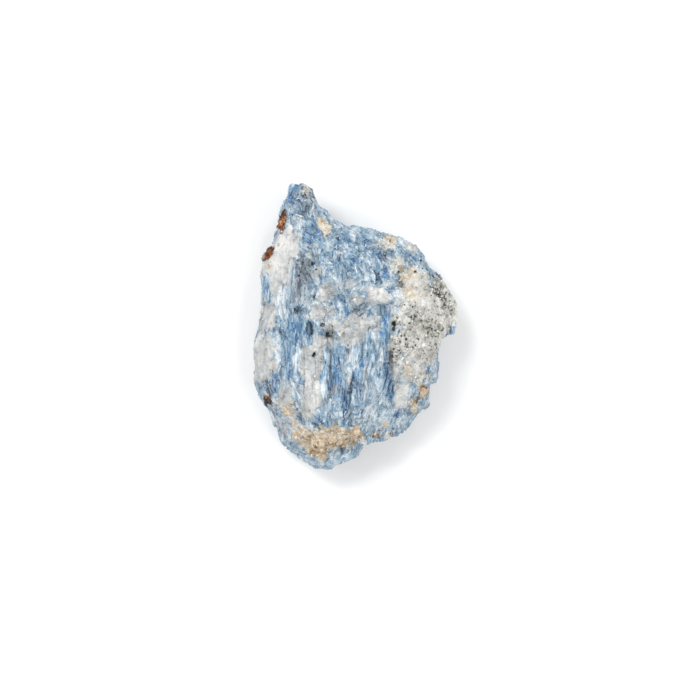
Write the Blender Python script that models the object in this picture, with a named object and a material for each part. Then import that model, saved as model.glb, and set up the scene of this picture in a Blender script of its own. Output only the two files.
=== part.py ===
# A rough piece of kyanite: blue blades grown through grey quartz, broken out of schist.
# It lies on its flat underside. From above, +X is to the right and the blades run along Y.
# Z = 0 is the surface that it rests on.

import bmesh
import bpy
import numpy as np

# Lengths are in millimetres up to the last step, which scales them to metres.
MM = 0.001

# Driving dimensions
LENGTH = 60.0
WIDTH = 43.1
THICKNESS = 22.5
RIM_HEIGHT = 8.5
FACE_HEIGHT = 20.6

# The grid that the surface is worked out on, and how many of its triangles are kept
ROWS = 190
COLUMNS = 300
KEPT_FACES = 8000
# The first and last rows stand this share of the way in from the two ends of the outline
END_SHARE = 0.012

# The plan outline, from the tip of the horn down each side to the lower end
LEFT_EDGE = [
    (-12.6, 29.8), (-13.7, 29.0), (-14.1, 27.0), (-15.1, 25.2), (-15.9, 21.4), (-16.9, 19.0),
    (-17.5, 16.9), (-19.1, 15.2), (-19.6, 12.6), (-20.1, 10.6), (-19.9, 8.9), (-19.7, 5.7),
    (-20.0, 2.0), (-20.6, -0.4), (-21.2, -2.7), (-21.3, -6.2), (-21.5, -9.4), (-21.2, -11.9),
    (-20.4, -14.2), (-19.5, -16.2), (-18.5, -17.9), (-17.8, -20.4), (-16.3, -22.7), (-15.4, -24.7),
    (-13.2, -26.6), (-11.0, -28.4), (-8.8, -29.7), (-6.6, -30.2), (-4.5, -29.9),
]
RIGHT_EDGE = [
    (-12.0, 29.9), (-10.5, 29.2), (-9.3, 28.5), (-9.0, 26.2), (-8.0, 24.9), (-6.2, 24.0),
    (-5.5, 22.9), (-3.6, 21.7), (-1.9, 20.4), (0.2, 20.6), (3.6, 20.0), (5.9, 19.2), (7.4, 18.4),
    (9.3, 18.3), (11.1, 17.1), (13.5, 16.2), (14.5, 14.5), (15.1, 12.4), (16.4, 11.7),
    (17.8, 10.6), (19.0, 8.8), (20.4, 6.2), (21.4, 4.4), (21.5, 3.1), (20.9, 0.6), (20.6, -1.1),
    (19.1, -2.3), (17.8, -3.5), (17.3, -5.1), (17.5, -7.8), (17.0, -11.1), (15.6, -12.4),
    (15.4, -14.4), (15.5, -16.6), (13.5, -18.2), (11.6, -20.4), (10.1, -22.2), (8.6, -23.1),
    (7.4, -23.2), (6.9, -24.0), (6.2, -23.9), (5.6, -22.4), (4.2, -21.8), (2.6, -22.2), (1.3, -23.5),
    (1.1, -25.4), (0.5, -27.0), (-1.3, -27.8), (-2.4, -28.3), (-3.0, -28.0), (-3.5, -29.0),
]

# The broken faces of the upper side: height at the middle, then the slopes along X and Y
CROWN_FACES = [
    (FACE_HEIGHT, 0.00, 0.02),
    (32.6, 1.00, -0.02),
    (28.6, -0.30, -0.62),
    (31.2, -1.02, 0.08),
    (34.5, -0.10, 0.86),
    (34.4, -0.80, 0.82),
    (42.5, 0.90, 0.90),
]
# The broken faces of the under side, which close on the flat that it rests on
UNDER_FACES = [
    (-16.5, -1.20, 0.10),
    (-17.5, 1.35, 0.05),
    (-17.0, 0.25, 0.95),
    (-19.5, 0.15, -0.90),
    (-18.5, 0.85, -0.80),
]

# Raised and sunk areas: middle, half lengths, turn in degrees, height, share that is its soft edge
AREAS = [
    # the crest beside the white plate, and the valley to its right
    (-12.6, 11.6, 1.9, 8.6, -4, 1.5, 0.60),
    (-9.4, 9.4, 1.7, 7.2, -4, -2.1, 0.55),
    # the felted mass and the ledge under it
    (2.2, 12.6, 12.4, 8.8, -10, 1.5, 0.22),
    (-1.0, 3.4, 9.0, 2.6, -8, -1.5, 0.40),
    # the schist lump and the quartz below it
    (14.6, 3.4, 5.6, 8.4, 12, 1.6, 0.35),
    (11.6, -15.2, 2.6, 2.8, 0, 1.3, 0.50),
    # the clay pocket under the ends of the blades
    (-6.2, -24.4, 7.4, 3.2, 8, -2.6, 0.28),
    # the long gap beside the last blade
    (7.0, -7.5, 0.8, 9.6, 2, -1.3, 0.50),
    # the saddle at the foot of the horn
    (-6.0, 19.6, 3.0, 2.4, 20, -1.4, 0.60),
    # two open pits
    (-9.8, -0.6, 0.9, 1.9, 8, -1.9, 0.45),
    (-5.4, -1.9, 1.2, 1.0, 30, -1.5, 0.45),
]

# Areas of quartz, schist and clay, which break into blocks and not blades: middle, half lengths
STONY_AREAS = [
    (-16.2, 9.0, 3.6, 9.5), (-18.6, -4.0, 2.2, 9.0), (15.0, 3.0, 7.0, 9.0), (0.0, 2.0, 4.5, 3.6),
    (-6.0, 3.0, 4.0, 3.0), (-5.0, -24.4, 7.6, 3.4), (12.0, -14.0, 4.0, 4.5), (-6.8, 20.0, 2.4, 2.2),
]
# Blocks are about this big. Blades are this wide, long and thick. Each step rises by up to this.
BLOCK = 3.6
BLADE = (2.1, 11.0, 2.3)
STEP = 0.95
SWELL = 0.6
# The plan outline keeps this share of the steps, along X, Y and Z
RIM_SHARE = (0.55, 0.55, 1.0)
# The lengths over which the stone swells, an area's edge wanders and the underside rolls
SWELL_LENGTH = 7.0
WANDER_LENGTH = 3.0
ROLL_LENGTH = 6.0
ROLL = 1.6
# An edge wanders by this share of the size of what it bounds
AREA_WANDER = 0.16
STONY_WANDER = 0.30
# How round the meeting edges of the broken faces are, above and below
CROWN_SOFTNESS = 0.35
UNDER_SOFTNESS = 0.3
# The steps fade in over this height above the flat underside
FADE_HEIGHT = 2.0
# The rim climbs by this much for each millimetre along Y, and keeps this far from both sides
RIM_SLOPE = 0.05
RIM_ROOM = 1.0

# Quartz grains that stand out of the middle of the face: middle, radius, height
GRAINS = [
    (-0.8, 0.0, 2.6, 1.9), (2.0, 1.2, 1.9, 1.4), (0.4, 5.6, 1.9, 1.5), (3.9, 0.6, 1.5, 1.4),
    (-5.9, 8.4, 1.8, 1.2), (-8.0, 2.8, 2.2, 1.2), (3.0, 7.0, 1.6, 1.0), (-3.0, 2.2, 1.5, 1.1),
    (8.0, 6.4, 2.4, 1.3), (-7.2, 19.4, 1.7, 1.3), (6.6, 16.6, 1.8, 1.0), (13.4, 4.2, 2.4, 1.2),
    (16.8, 0.6, 2.2, 1.1), (10.6, 0.2, 2.0, 1.0), (12.4, -5.6, 2.3, 0.9), (-8.4, -25.0, 1.6, 1.1),
    (-4.0, -23.2, 1.9, 1.2), (-0.6, -21.6, 1.4, 1.2), (-11.2, -23.4, 1.5, 0.9),
]

# Fields of blades: X span, Y span, how many, lengths, widths, lean in degrees, height
BLADE_FIELDS = [
    ((-8.5, 7.0), (-18.5, -2.0), 26, (7.0, 15.0), (0.9, 1.9), -2.0, 1.1),
    ((-17.0, -9.5), (-17.5, 6.0), 14, (8.0, 18.0), (0.9, 1.7), 4.0, 0.9),
    ((-7.0, 9.0), (8.0, 16.0), 14, (3.5, 7.5), (0.8, 1.5), -12.0, 0.6),
    ((-14.5, -9.5), (19.0, 27.0), 7, (5.0, 9.0), (0.8, 1.6), -3.0, 0.8),
    ((9.0, 16.0), (-19.0, -6.0), 7, (3.0, 6.5), (0.8, 1.5), -16.0, 0.7),
]
BLADE_SEED = 11
# A lath's side falls this steeply, and its turn and the slopes of its top vary by these amounts
LATH_SIDE = 2.6
LATH_TURN = 3.5
LATH_SLOPES = (0.30, 0.035)


# Numbers from 0 to 1 that are fixed for each whole-number cell, as many as are asked for
def cell_numbers(cell, seed, count):
    key = (cell[:, 0] * 73856093) ^ (cell[:, 1] * 19349663) ^ (cell[:, 2] * 83492791)
    key = (key ^ (seed * 2654435761)) & 0x7FFFFFFF
    found = []
    for _ in range(count):
        key = (key * 1103515245 + 12345) & 0x7FFFFFFF
        key = ((key ^ (key >> 15)) * 1274126177) & 0x7FFFFFFF
        found.append((key >> 8 & 0xFFFF) / 0xFFFF)
    return np.array(found)


# One smooth random value for each point: random slopes at whole-number corners, blended
def noise(points, seed):
    cell = np.floor(points).astype(np.int64)
    part = points - cell
    blend = part * part * part * (part * (part * 6 - 15) + 10)
    total = np.zeros(len(points))
    for corner in np.ndindex(2, 2, 2):
        slope = cell_numbers(cell + corner, seed, 3).T * 2 - 1
        rise = ((part - corner) * slope).sum(axis=1)
        total += rise * np.where(corner, blend, 1 - blend).prod(axis=1)
    return total * 1.8


# Broken faces: each point belongs to the nearest of many scattered middles, and every middle
# has a flat face of its own, tilted and set a little higher or lower than its neighbours
def broken(points, size, seed):
    scaled = points / size
    cell = np.floor(scaled).astype(np.int64)
    nearest = np.full(len(points), np.inf)
    height = np.zeros(len(points))
    for corner in np.ndindex(3, 3, 3):
        at = cell + corner - 1
        number = cell_numbers(at, seed, 7)
        away = scaled - at - number[:3].T
        distance = (away * away).sum(axis=1)
        face = number[3] - 0.5 + 0.9 * (away * (number[4:7].T - 0.5)).sum(axis=1)
        height = np.where(distance < nearest, face, height)
        nearest = np.minimum(distance, nearest)
    return height


# The points that lie at the given shares of a polyline's length
def along(edge, share):
    edge = np.array(edge)
    steps = np.hypot(*np.diff(edge, axis=0).T)
    walked = np.concatenate([[0], np.cumsum(steps)]) / steps.sum()
    return np.column_stack([np.interp(share, walked, edge[:, axis]) for axis in (0, 1)])


# The lowest of several planes, with their meeting edges a little rounded
def lowest(planes, x, y, softness):
    heights = np.stack([h + sx * x + sy * y for h, sx, sy in planes])
    least = heights.min(axis=0)
    return least - softness * np.log(np.exp((least - heights) / softness).sum(axis=0))


def ramp(value, low, high):
    share = np.clip((value - low) / (high - low), 0, 1)
    return share * share * (3 - 2 * share)


# A point's place along and across something turned by some degrees about a middle
def turned(x, y, middle_x, middle_y, degrees):
    angle = np.radians(degrees)
    dx = x - middle_x
    dy = y - middle_y
    return dx * np.cos(angle) + dy * np.sin(angle), dy * np.cos(angle) - dx * np.sin(angle)


# Laths on the ground: each top is a tilted plane, and its sides and ends fall steeply
def blade_heights(x, y, ground):
    rng = np.random.default_rng(BLADE_SEED)
    raised = ground.copy()
    for x_span, y_span, count, lengths, widths, lean, height in BLADE_FIELDS:
        for _ in range(count):
            middle = rng.uniform(*x_span), rng.uniform(*y_span)
            half = rng.uniform(*lengths) / 2, rng.uniform(*widths) / 2
            across, up = turned(x, y, *middle, lean + rng.normal(0, LATH_TURN))
            lift = height * rng.uniform(0.15, 1.0)
            tilt_along = rng.normal(0, LATH_SLOPES[1])
            tilt_across = rng.normal(0, LATH_SLOPES[0])
            outside = np.maximum(np.abs(across) - half[1], (np.abs(up) - half[0]) * 0.6)
            top = lift + tilt_along * up + tilt_across * across
            top -= LATH_SIDE * np.maximum(outside, 0)
            near = (outside < 1.0) & (top > 0)
            raised = np.where(near, np.maximum(raised, ground + top), raised)
    return raised


# Domes on the ground, flat-topped and steep at the rim
def grain_heights(x, y, ground):
    raised = ground.copy()
    for middle_x, middle_y, radius, height in GRAINS:
        away = np.hypot(x - middle_x, y - middle_y) / radius
        dome = height * (1 - away**3)
        raised = np.where(away < 1, np.maximum(raised, ground + dome), raised)
    return raised


# Ellipses that raise or sink the ground, each level inside and ramped down at its edge
def area_heights(x, y):
    total = np.zeros_like(x)
    flat = np.column_stack([x.ravel(), y.ravel(), 0 * x.ravel()])
    rough = AREA_WANDER * noise(flat / WANDER_LENGTH, 5).reshape(x.shape)
    for middle_x, middle_y, half_x, half_y, degrees, height, soft in AREAS:
        across, up = turned(x, y, middle_x, middle_y, degrees)
        away = np.hypot(across / half_x, up / half_y) + rough
        total += height * (1 - ramp(away, 1 - soft, 1 + soft * 0.4))
    return total


# The height of the upper side: its broken faces, its areas, its laths and its grains
def crown(x, y):
    ground = lowest(CROWN_FACES, x, y, CROWN_SOFTNESS) + area_heights(x, y)
    ground = blade_heights(x, y, ground)
    return grain_heights(x, y, ground)


# The highest of the under faces, rolling a little, and never below the flat that it rests on
def underside(x, y):
    highest = -lowest([(-h, -sx, -sy) for h, sx, sy in UNDER_FACES], x, y, UNDER_SOFTNESS)
    flat = np.column_stack([x.ravel(), y.ravel(), 0 * x.ravel()])
    return np.maximum(highest + ROLL * noise(flat / ROLL_LENGTH, 7).reshape(x.shape), 0)


# One closed section, from the left edge over the top to the right edge and back underneath: the
# cosine and sine of an angle, each to a power, at even steps of their path. It gives each point's
# share of the width, and its share of the rise from the rim, which is below zero underneath.
def section(count, side_power=0.8, top_power=0.42, bottom_power=0.5, past_full=1.12):
    fine = np.linspace(0, 2 * np.pi, 4000)
    share = (1 - np.sign(np.cos(fine)) * np.abs(np.cos(fine)) ** side_power) / 2
    upper = fine <= np.pi
    rise = np.abs(np.sin(fine)) ** np.where(upper, top_power, bottom_power)
    rise = np.minimum(rise * past_full, 1) * np.where(upper, 1, -1)
    path_x, path_z = share * WIDTH, rise * THICKNESS * 0.42
    walked = np.concatenate([[0], np.cumsum(np.hypot(np.diff(path_x), np.diff(path_z)))])
    even = np.interp(np.arange(count) / count * walked[-1], walked, fine)
    return np.interp(even, fine, share), np.interp(even, fine, rise)


# The whole surface: rows run from the left edge to the right edge, columns round the stone
def stone_points():
    rows = np.linspace(END_SHARE, 1 - END_SHARE, ROWS)
    left = along(LEFT_EDGE, rows)
    right = along(RIGHT_EDGE, rows)
    share, rise = section(COLUMNS)
    plan = left[:, None] + (right - left)[:, None] * share[None, :, None]
    x, y = plan[..., 0], plan[..., 1]
    top = crown(x, y)
    under = underside(x, y)
    rim = np.clip(RIM_HEIGHT + RIM_SLOPE * y, under + RIM_ROOM, top - RIM_ROOM)
    z = np.where(rise > 0, rim + (top - rim) * rise, rim + (rim - under) * rise)
    return np.stack([x, y, z], axis=-1)


# How far a point is inside an area that breaks into blocks, from 0 to 1
def stoniness(points):
    rough = STONY_WANDER * noise(points / WANDER_LENGTH, 5)
    most = np.zeros(len(points))
    for middle_x, middle_y, half_x, half_y in STONY_AREAS:
        away = np.hypot((points[:, 0] - middle_x) / half_x, (points[:, 1] - middle_y) / half_y)
        most = np.maximum(most, 1 - ramp(away + rough, 0.85, 1.15))
    return most


# The broken surface stands in or out along its own normal, and the flat underside stays flat
def roughened(points):
    across = np.roll(points, -1, axis=1) - np.roll(points, 1, axis=1)
    down = np.gradient(points, axis=0)
    normal = np.cross(across, down)
    normal /= np.maximum(np.linalg.norm(normal, axis=-1, keepdims=True), 1e-9)
    flat = points.reshape(-1, 3)
    stony = stoniness(flat)
    steps = broken(flat, BLOCK, 1) * stony + broken(flat, BLADE, 3) * (1 - stony)
    amount = STEP * steps + SWELL * noise(flat / SWELL_LENGTH, 6)
    amount = amount.reshape(points.shape[:2]) * ramp(points[..., 2], 0.0, FADE_HEIGHT)
    return points + normal * amount[..., None] * RIM_SHARE


# Quads between the rows, and a fan of triangles on each end
def closed_mesh(name, points):
    rows, columns = points.shape[:2]
    ring = np.arange(rows * columns).reshape(rows, columns)
    after = np.roll(ring, -1, axis=1)
    quads = np.stack([ring[:-1], ring[1:], after[1:], after[:-1]], axis=-1).reshape(-1, 4)
    ends = [points[0].mean(axis=0), points[-1].mean(axis=0)]
    first, last = rows * columns, rows * columns + 1
    caps = [(first, a, b) for a, b in zip(ring[0], after[0])]
    caps += [(last, b, a) for a, b in zip(ring[-1], after[-1])]
    mesh = bpy.data.meshes.new(name)
    vertices = np.vstack([points.reshape(-1, 3), ends])
    mesh.from_pydata(vertices.tolist(), [], quads.tolist() + [tuple(map(int, c)) for c in caps])
    return mesh


# Turns every face to look out of the stone
def faces_outward(mesh):
    form = bmesh.new()
    form.from_mesh(mesh)
    bmesh.ops.recalc_face_normals(form, faces=form.faces)
    form.to_mesh(mesh)
    form.free()


# Brings the surface to the driving dimensions, centred over its base, in metres
def to_size(points):
    low = points.reshape(-1, 3).min(axis=0)
    high = points.reshape(-1, 3).max(axis=0)
    size = np.array([WIDTH, LENGTH, THICKNESS])
    share = (points - low) / (high - low)
    return (share - (0.5, 0.5, 0)) * size * MM


# The stone's plain finish: the mean blue of its blades
def stone_material():
    material = bpy.data.materials.new("kyanite_stone")
    material.use_nodes = True
    shader = material.node_tree.nodes["Principled BSDF"]
    shader.inputs["Base Color"].default_value = (0.42, 0.55, 0.70, 1)
    shader.inputs["Roughness"].default_value = 0.55
    shader.inputs["Metallic"].default_value = 0
    return material


def make_stone():
    mesh = closed_mesh("kyanite", to_size(roughened(stone_points())))
    faces_outward(mesh)
    stone = bpy.data.objects.new("kyanite", mesh)
    bpy.context.scene.collection.objects.link(stone)
    mesh.materials.append(stone_material())
    fewer = stone.modifiers.new("fewer_faces", "DECIMATE")
    fewer.ratio = KEPT_FACES / (2 * ROWS * COLUMNS)
    return stone


def main():
    for obj in list(bpy.data.objects):
        bpy.data.objects.remove(obj)
    make_stone()


main()
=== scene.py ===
# A rough kyanite specimen: bladed blue crystals in grey quartz and schist, lying on a pale table.
# The stone's surface is worked out here on a fine grid, from the same form as the plain solid,
# with its minerals and finer breaks. Then it gets loose blades, needles, grains and mica flakes.

import bpy
import numpy as np
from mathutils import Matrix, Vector
from mathutils.bvhtree import BVHTree
from mathutils.kdtree import KDTree


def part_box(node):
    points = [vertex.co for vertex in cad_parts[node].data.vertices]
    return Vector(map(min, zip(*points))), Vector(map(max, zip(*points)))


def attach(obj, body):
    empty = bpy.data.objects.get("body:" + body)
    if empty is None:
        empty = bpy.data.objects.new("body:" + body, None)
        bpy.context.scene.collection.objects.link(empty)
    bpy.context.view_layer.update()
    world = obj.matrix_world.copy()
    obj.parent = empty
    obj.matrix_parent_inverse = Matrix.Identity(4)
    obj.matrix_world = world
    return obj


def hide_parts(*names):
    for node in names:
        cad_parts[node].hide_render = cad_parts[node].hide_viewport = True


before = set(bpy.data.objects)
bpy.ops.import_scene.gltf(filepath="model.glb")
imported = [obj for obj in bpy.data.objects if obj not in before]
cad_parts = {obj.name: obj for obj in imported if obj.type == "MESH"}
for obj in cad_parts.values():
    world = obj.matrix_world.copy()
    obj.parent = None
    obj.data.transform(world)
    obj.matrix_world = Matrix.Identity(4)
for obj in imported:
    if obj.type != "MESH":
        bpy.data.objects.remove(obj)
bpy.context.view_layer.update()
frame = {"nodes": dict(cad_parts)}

mm = 0.001
node = "kyanite"
body = "root"
print("frame loaded:", ", ".join(frame["nodes"]))


# Small tools for numbers

# Numbers from 0 to 1, fixed for each whole-number cell: its three indices are mixed into one
# key, and the key is stirred once for each number that is asked for.
def cellNumbers(cell, seed, count):
    key = (cell[:, 0] * 73856093) ^ (cell[:, 1] * 19349663) ^ (cell[:, 2] * 83492791)
    key = (key ^ (seed * 2654435761)) & 0x7FFFFFFF
    found = []
    for _ in range(count):
        key = (key * 1103515245 + 12345) & 0x7FFFFFFF
        key = ((key ^ (key >> 15)) * 1274126177) & 0x7FFFFFFF
        found.append((key >> 8 & 0xFFFF) / 0xFFFF)
    return np.array(found)


# Smooth noise, about -1 to 1: the slopes of the eight corners round a point, blended by an S-curve.
def noise(points, seed):
    cell = np.floor(points).astype(np.int64)
    part = points - cell
    blend = part * part * part * (part * (part * 6 - 15) + 10)
    total = np.zeros(len(points))
    for corner in np.ndindex(2, 2, 2):
        slope = cellNumbers(cell + corner, seed, 3).T * 2 - 1
        rise = ((part - corner) * slope).sum(axis=1)
        total += rise * np.where(corner, blend, 1 - blend).prod(axis=1)
    return total * 1.8


# The scattered middle that is nearest to each point, one middle in each cell of a grid.
def nearestCell(scaled, seed):
    home = np.floor(scaled).astype(np.int64)
    nearest = np.full(len(scaled), np.inf)
    best = home.copy()
    for corner in np.ndindex(3, 3, 3):
        at = home + corner - 1
        away = scaled - at - cellNumbers(at, seed, 3).T
        distance = (away * away).sum(axis=1)
        closer = distance < nearest
        best[closer] = at[closer]
        nearest[closer] = distance[closer]
    return best


# Broken faces: the height of a flat face that each scattered middle has, tilted its own way and
# set a little above or below its neighbours, and a tone from 0 to 1 for each face.
def broken(points, size, seed, tilt=0.9):
    scaled = points / size
    best = nearestCell(scaled, seed)
    number = cellNumbers(best, seed, 8)
    away = scaled - best - number[:3].T
    return number[3] - 0.5 + tilt * (away * (number[4:7].T - 0.5)).sum(axis=1), number[7]


def ramp(value, low, high):
    share = np.clip((value - low) / (high - low), 0, 1)
    return share * share * (3 - 2 * share)


# A point's place across and along something turned by some degrees about a middle.
def turned(x, y, middleX, middleY, degrees):
    angle = np.radians(degrees)
    dx = x - middleX
    dy = y - middleY
    return dx * np.cos(angle) + dy * np.sin(angle), dy * np.cos(angle) - dx * np.sin(angle)


def unit(vectors):
    return vectors / np.maximum(np.linalg.norm(vectors, axis=-1, keepdims=True), 1e-12)


# The form of the stone in millimetres, the same as the plain solid's but for its finer grid

stoneForm = {
    "rows": 440,
    "columns": 620,
    "triangles": 197000,
    "sharpEdge": 20,  # faces that meet at more degrees than this are shaded as an edge
    "endShare": 0.012,  # how far in from the outline's ends the first and last rows stand
    # the rim's height, its climb for each millimetre along Y, and the least it keeps from the top
    # and from the underside
    "rimHeight": 8.5,
    "rimSlope": 0.05,
    "rimRoom": 1.0,
    "sectionSize": (43.1, 9.45),  # the width and half height that a section's steps are even for
    # broken faces: how far they step, the share that is kept along X, Y and Z, the size of blocks
    # and of blades, and the height over which the steps fade in above the underside
    "step": 0.95,
    "rimShare": (0.55, 0.55, 1.0),
    "block": 3.6,
    "blade": (2.1, 11.0, 2.3),
    "fadeHeight": 2.0,
    # how far the stone swells and its underside rolls, and over what lengths
    "swell": 0.6,
    "swellLength": 7.0,
    "roll": 1.6,
    "rollLength": 6.0,
    # the edges of areas wander in waves of this length, by these shares of an area's half size
    "wanderLength": 3.0,
    "areaWander": 0.16,
    "stonyWander": 0.30,
    # how round the meeting edges of the broken faces are, above and below
    "crownSoftness": 0.35,
    "underSoftness": 0.3,
    # how steep a lath's side is, how its turn varies, and the slopes of its top, across and along
    "lathSide": 2.6,
    "lathTurn": 3.5,
    "lathSlopes": (0.30, 0.035),
    "leftEdge": [
        (-12.6, 29.8), (-13.7, 29.0), (-14.1, 27.0), (-15.1, 25.2), (-15.9, 21.4), (-16.9, 19.0),
        (-17.5, 16.9), (-19.1, 15.2), (-19.6, 12.6), (-20.1, 10.6), (-19.9, 8.9), (-19.7, 5.7),
        (-20.0, 2.0), (-20.6, -0.4), (-21.2, -2.7), (-21.3, -6.2), (-21.5, -9.4), (-21.2, -11.9),
        (-20.4, -14.2), (-19.5, -16.2), (-18.5, -17.9), (-17.8, -20.4), (-16.3, -22.7),
        (-15.4, -24.7), (-13.2, -26.6), (-11.0, -28.4), (-8.8, -29.7), (-6.6, -30.2), (-4.5, -29.9),
    ],
    "rightEdge": [
        (-12.0, 29.9), (-10.5, 29.2), (-9.3, 28.5), (-9.0, 26.2), (-8.0, 24.9), (-6.2, 24.0),
        (-5.5, 22.9), (-3.6, 21.7), (-1.9, 20.4), (0.2, 20.6), (3.6, 20.0), (5.9, 19.2),
        (7.4, 18.4), (9.3, 18.3), (11.1, 17.1), (13.5, 16.2), (14.5, 14.5), (15.1, 12.4),
        (16.4, 11.7), (17.8, 10.6), (19.0, 8.8), (20.4, 6.2), (21.4, 4.4), (21.5, 3.1), (20.9, 0.6),
        (20.6, -1.1), (19.1, -2.3), (17.8, -3.5), (17.3, -5.1), (17.5, -7.8), (17.0, -11.1),
        (15.6, -12.4), (15.4, -14.4), (15.5, -16.6), (13.5, -18.2), (11.6, -20.4), (10.1, -22.2),
        (8.6, -23.1), (7.4, -23.2), (6.9, -24.0), (6.2, -23.9), (5.6, -22.4), (4.2, -21.8),
        (2.6, -22.2), (1.3, -23.5), (1.1, -25.4), (0.5, -27.0), (-1.3, -27.8), (-2.4, -28.3),
        (-3.0, -28.0), (-3.5, -29.0),
    ],
    # height at the middle, then the slopes along X and Y
    "crownFaces": [
        (20.6, 0.00, 0.02), (32.6, 1.00, -0.02), (28.6, -0.30, -0.62), (31.2, -1.02, 0.08),
        (34.5, -0.10, 0.86), (34.4, -0.80, 0.82), (42.5, 0.90, 0.90),
    ],
    "underFaces": [
        (-16.5, -1.20, 0.10), (-17.5, 1.35, 0.05), (-17.0, 0.25, 0.95), (-19.5, 0.15, -0.90),
        (-18.5, 0.85, -0.80),
    ],
    # middle, half lengths, turn in degrees, height, share that is the soft edge
    "areas": [
        (-12.6, 11.6, 1.9, 8.6, -4, 1.5, 0.60), (-9.4, 9.4, 1.7, 7.2, -4, -2.1, 0.55),
        (2.2, 12.6, 12.4, 8.8, -10, 1.5, 0.22), (-1.0, 3.4, 9.0, 2.6, -8, -1.5, 0.40),
        (14.6, 3.4, 5.6, 8.4, 12, 1.6, 0.35), (11.6, -15.2, 2.6, 2.8, 0, 1.3, 0.50),
        (-6.2, -24.4, 7.4, 3.2, 8, -2.6, 0.28), (7.0, -7.5, 0.8, 9.6, 2, -1.3, 0.50),
        (-6.0, 19.6, 3.0, 2.4, 20, -1.4, 0.60), (-9.8, -0.6, 0.9, 1.9, 8, -1.9, 0.45),
        (-5.4, -1.9, 1.2, 1.0, 30, -1.5, 0.45),
    ],
    # middle and half lengths of what breaks into blocks
    "stonyAreas": [
        (-16.2, 9.0, 3.6, 9.5), (-18.6, -4.0, 2.2, 9.0), (15.0, 3.0, 7.0, 9.0),
        (0.0, 2.0, 4.5, 3.6), (-6.0, 3.0, 4.0, 3.0), (-5.0, -24.4, 7.6, 3.4),
        (12.0, -14.0, 4.0, 4.5), (-6.8, 20.0, 2.4, 2.2),
    ],
    # middle, radius, height
    "grains": [
        (-0.8, 0.0, 2.6, 1.9), (2.0, 1.2, 1.9, 1.4), (0.4, 5.6, 1.9, 1.5), (3.9, 0.6, 1.5, 1.4),
        (-5.9, 8.4, 1.8, 1.2), (-8.0, 2.8, 2.2, 1.2), (3.0, 7.0, 1.6, 1.0), (-3.0, 2.2, 1.5, 1.1),
        (8.0, 6.4, 2.4, 1.3), (-7.2, 19.4, 1.7, 1.3), (6.6, 16.6, 1.8, 1.0), (13.4, 4.2, 2.4, 1.2),
        (16.8, 0.6, 2.2, 1.1), (10.6, 0.2, 2.0, 1.0), (12.4, -5.6, 2.3, 0.9),
        (-8.4, -25.0, 1.6, 1.1), (-4.0, -23.2, 1.9, 1.2), (-0.6, -21.6, 1.4, 1.2),
        (-11.2, -23.4, 1.5, 0.9),
    ],
    # X span, Y span, how many, lengths, widths, lean in degrees, height
    "bladeFields": [
        ((-8.5, 7.0), (-18.5, -2.0), 26, (7.0, 15.0), (0.9, 1.9), -2.0, 1.1),
        ((-17.0, -9.5), (-17.5, 6.0), 14, (8.0, 18.0), (0.9, 1.7), 4.0, 0.9),
        ((-7.0, 9.0), (8.0, 16.0), 14, (3.5, 7.5), (0.8, 1.5), -12.0, 0.6),
        ((-14.5, -9.5), (19.0, 27.0), 7, (5.0, 9.0), (0.8, 1.6), -3.0, 0.8),
        ((9.0, 16.0), (-19.0, -6.0), 7, (3.0, 6.5), (0.8, 1.5), -16.0, 0.7),
    ],
    "bladeSeed": 11,
}

# Smaller breaks that only this surface has: cell size, seed, rise of a step, tilt of a face
fineBreaks = {
    "blade": ((1.0, 6.0, 1.1), 21, 0.55, 1.2),
    "splinter": ((0.5, 2.8, 0.55), 22, 0.26, 1.2),
    "quartz": ((2.6, 3.4, 2.6), 27, 0.42, 1.3),
    "block": ((1.2, 1.3, 1.2), 23, 0.62, 1.5),
    "grit": ((0.55, 0.6, 0.55), 24, 0.30, 1.5),
    # blades lie in bundles of this size, and felted blades in the smaller ones
    "bundles": [((4.2, 6.5, 4.2), 25), ((1.5, 1.9, 1.5), 26)],
    "crust": 0.22,  # rust stands out by this much
}
# Open pits in the upper side: middle, half lengths, turn in degrees, depth
pits = [
    (-9.6, -0.5, 0.55, 1.5, 8, 1.3), (-8.6, -5.9, 0.30, 0.55, -35, 1.8), (-5.6, -2.1, 0.75, 0.28, -25, 1.0),
    (-8.5, 6.2, 0.35, 0.30, 0, 1.1), (-8.8, 12.7, 0.32, 0.30, 0, 1.2), (-6.9, 0.1, 0.5, 0.3, 20, 0.9),
    (7.7, 0.2, 0.5, 0.6, 0, 1.2), (7.2, -7.6, 0.32, 3.4, 2, 0.6), (4.4, 10.2, 0.3, 1.8, 24, 0.9),
    (-12.1, 3.4, 1.3, 0.35, 12, 0.8), (0.6, 3.0, 1.5, 0.4, -3, 0.9), (9.2, 8.6, 0.9, 0.8, 30, 1.0),
    (-0.9, -12.2, 0.22, 2.6, -6, 0.8), (-2.4, -16.6, 0.2, 3.6, -2, 0.6), (12.3, -15.6, 0.3, 1.5, 5, 0.8),
    (-16.5, -13.3, 0.4, 0.45, 0, 0.7), (-18.1, -13.0, 0.5, 2.8, 14, 0.8), (-2.8, -25.9, 0.25, 1.1, -20, 0.9),
]
# Where the blades are short and felted: middle, half lengths
feltAreas = [
    (1.0, 14.0, 10.5, 5.6), (7.5, 10.0, 4.0, 5.0), (-8.0, -26.5, 7.0, 3.0), (-14.5, -22.0, 3.0, 4.5),
    (7.0, -20.0, 7.0, 3.4), (16.0, -9.0, 2.6, 8.0), (11.5, 15.5, 4.5, 4.0), (-3.4, -25.8, 4.0, 3.0),
    (4.0, 19.4, 9.0, 2.4), (-6.0, 22.0, 3.4, 2.6), (-12.2, 24.4, 3.2, 4.6), (-16.4, -3.0, 1.6, 5.0),
    (2.0, -17.6, 6.0, 2.0), (15.0, -14.6, 3.0, 4.0),
]

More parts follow.
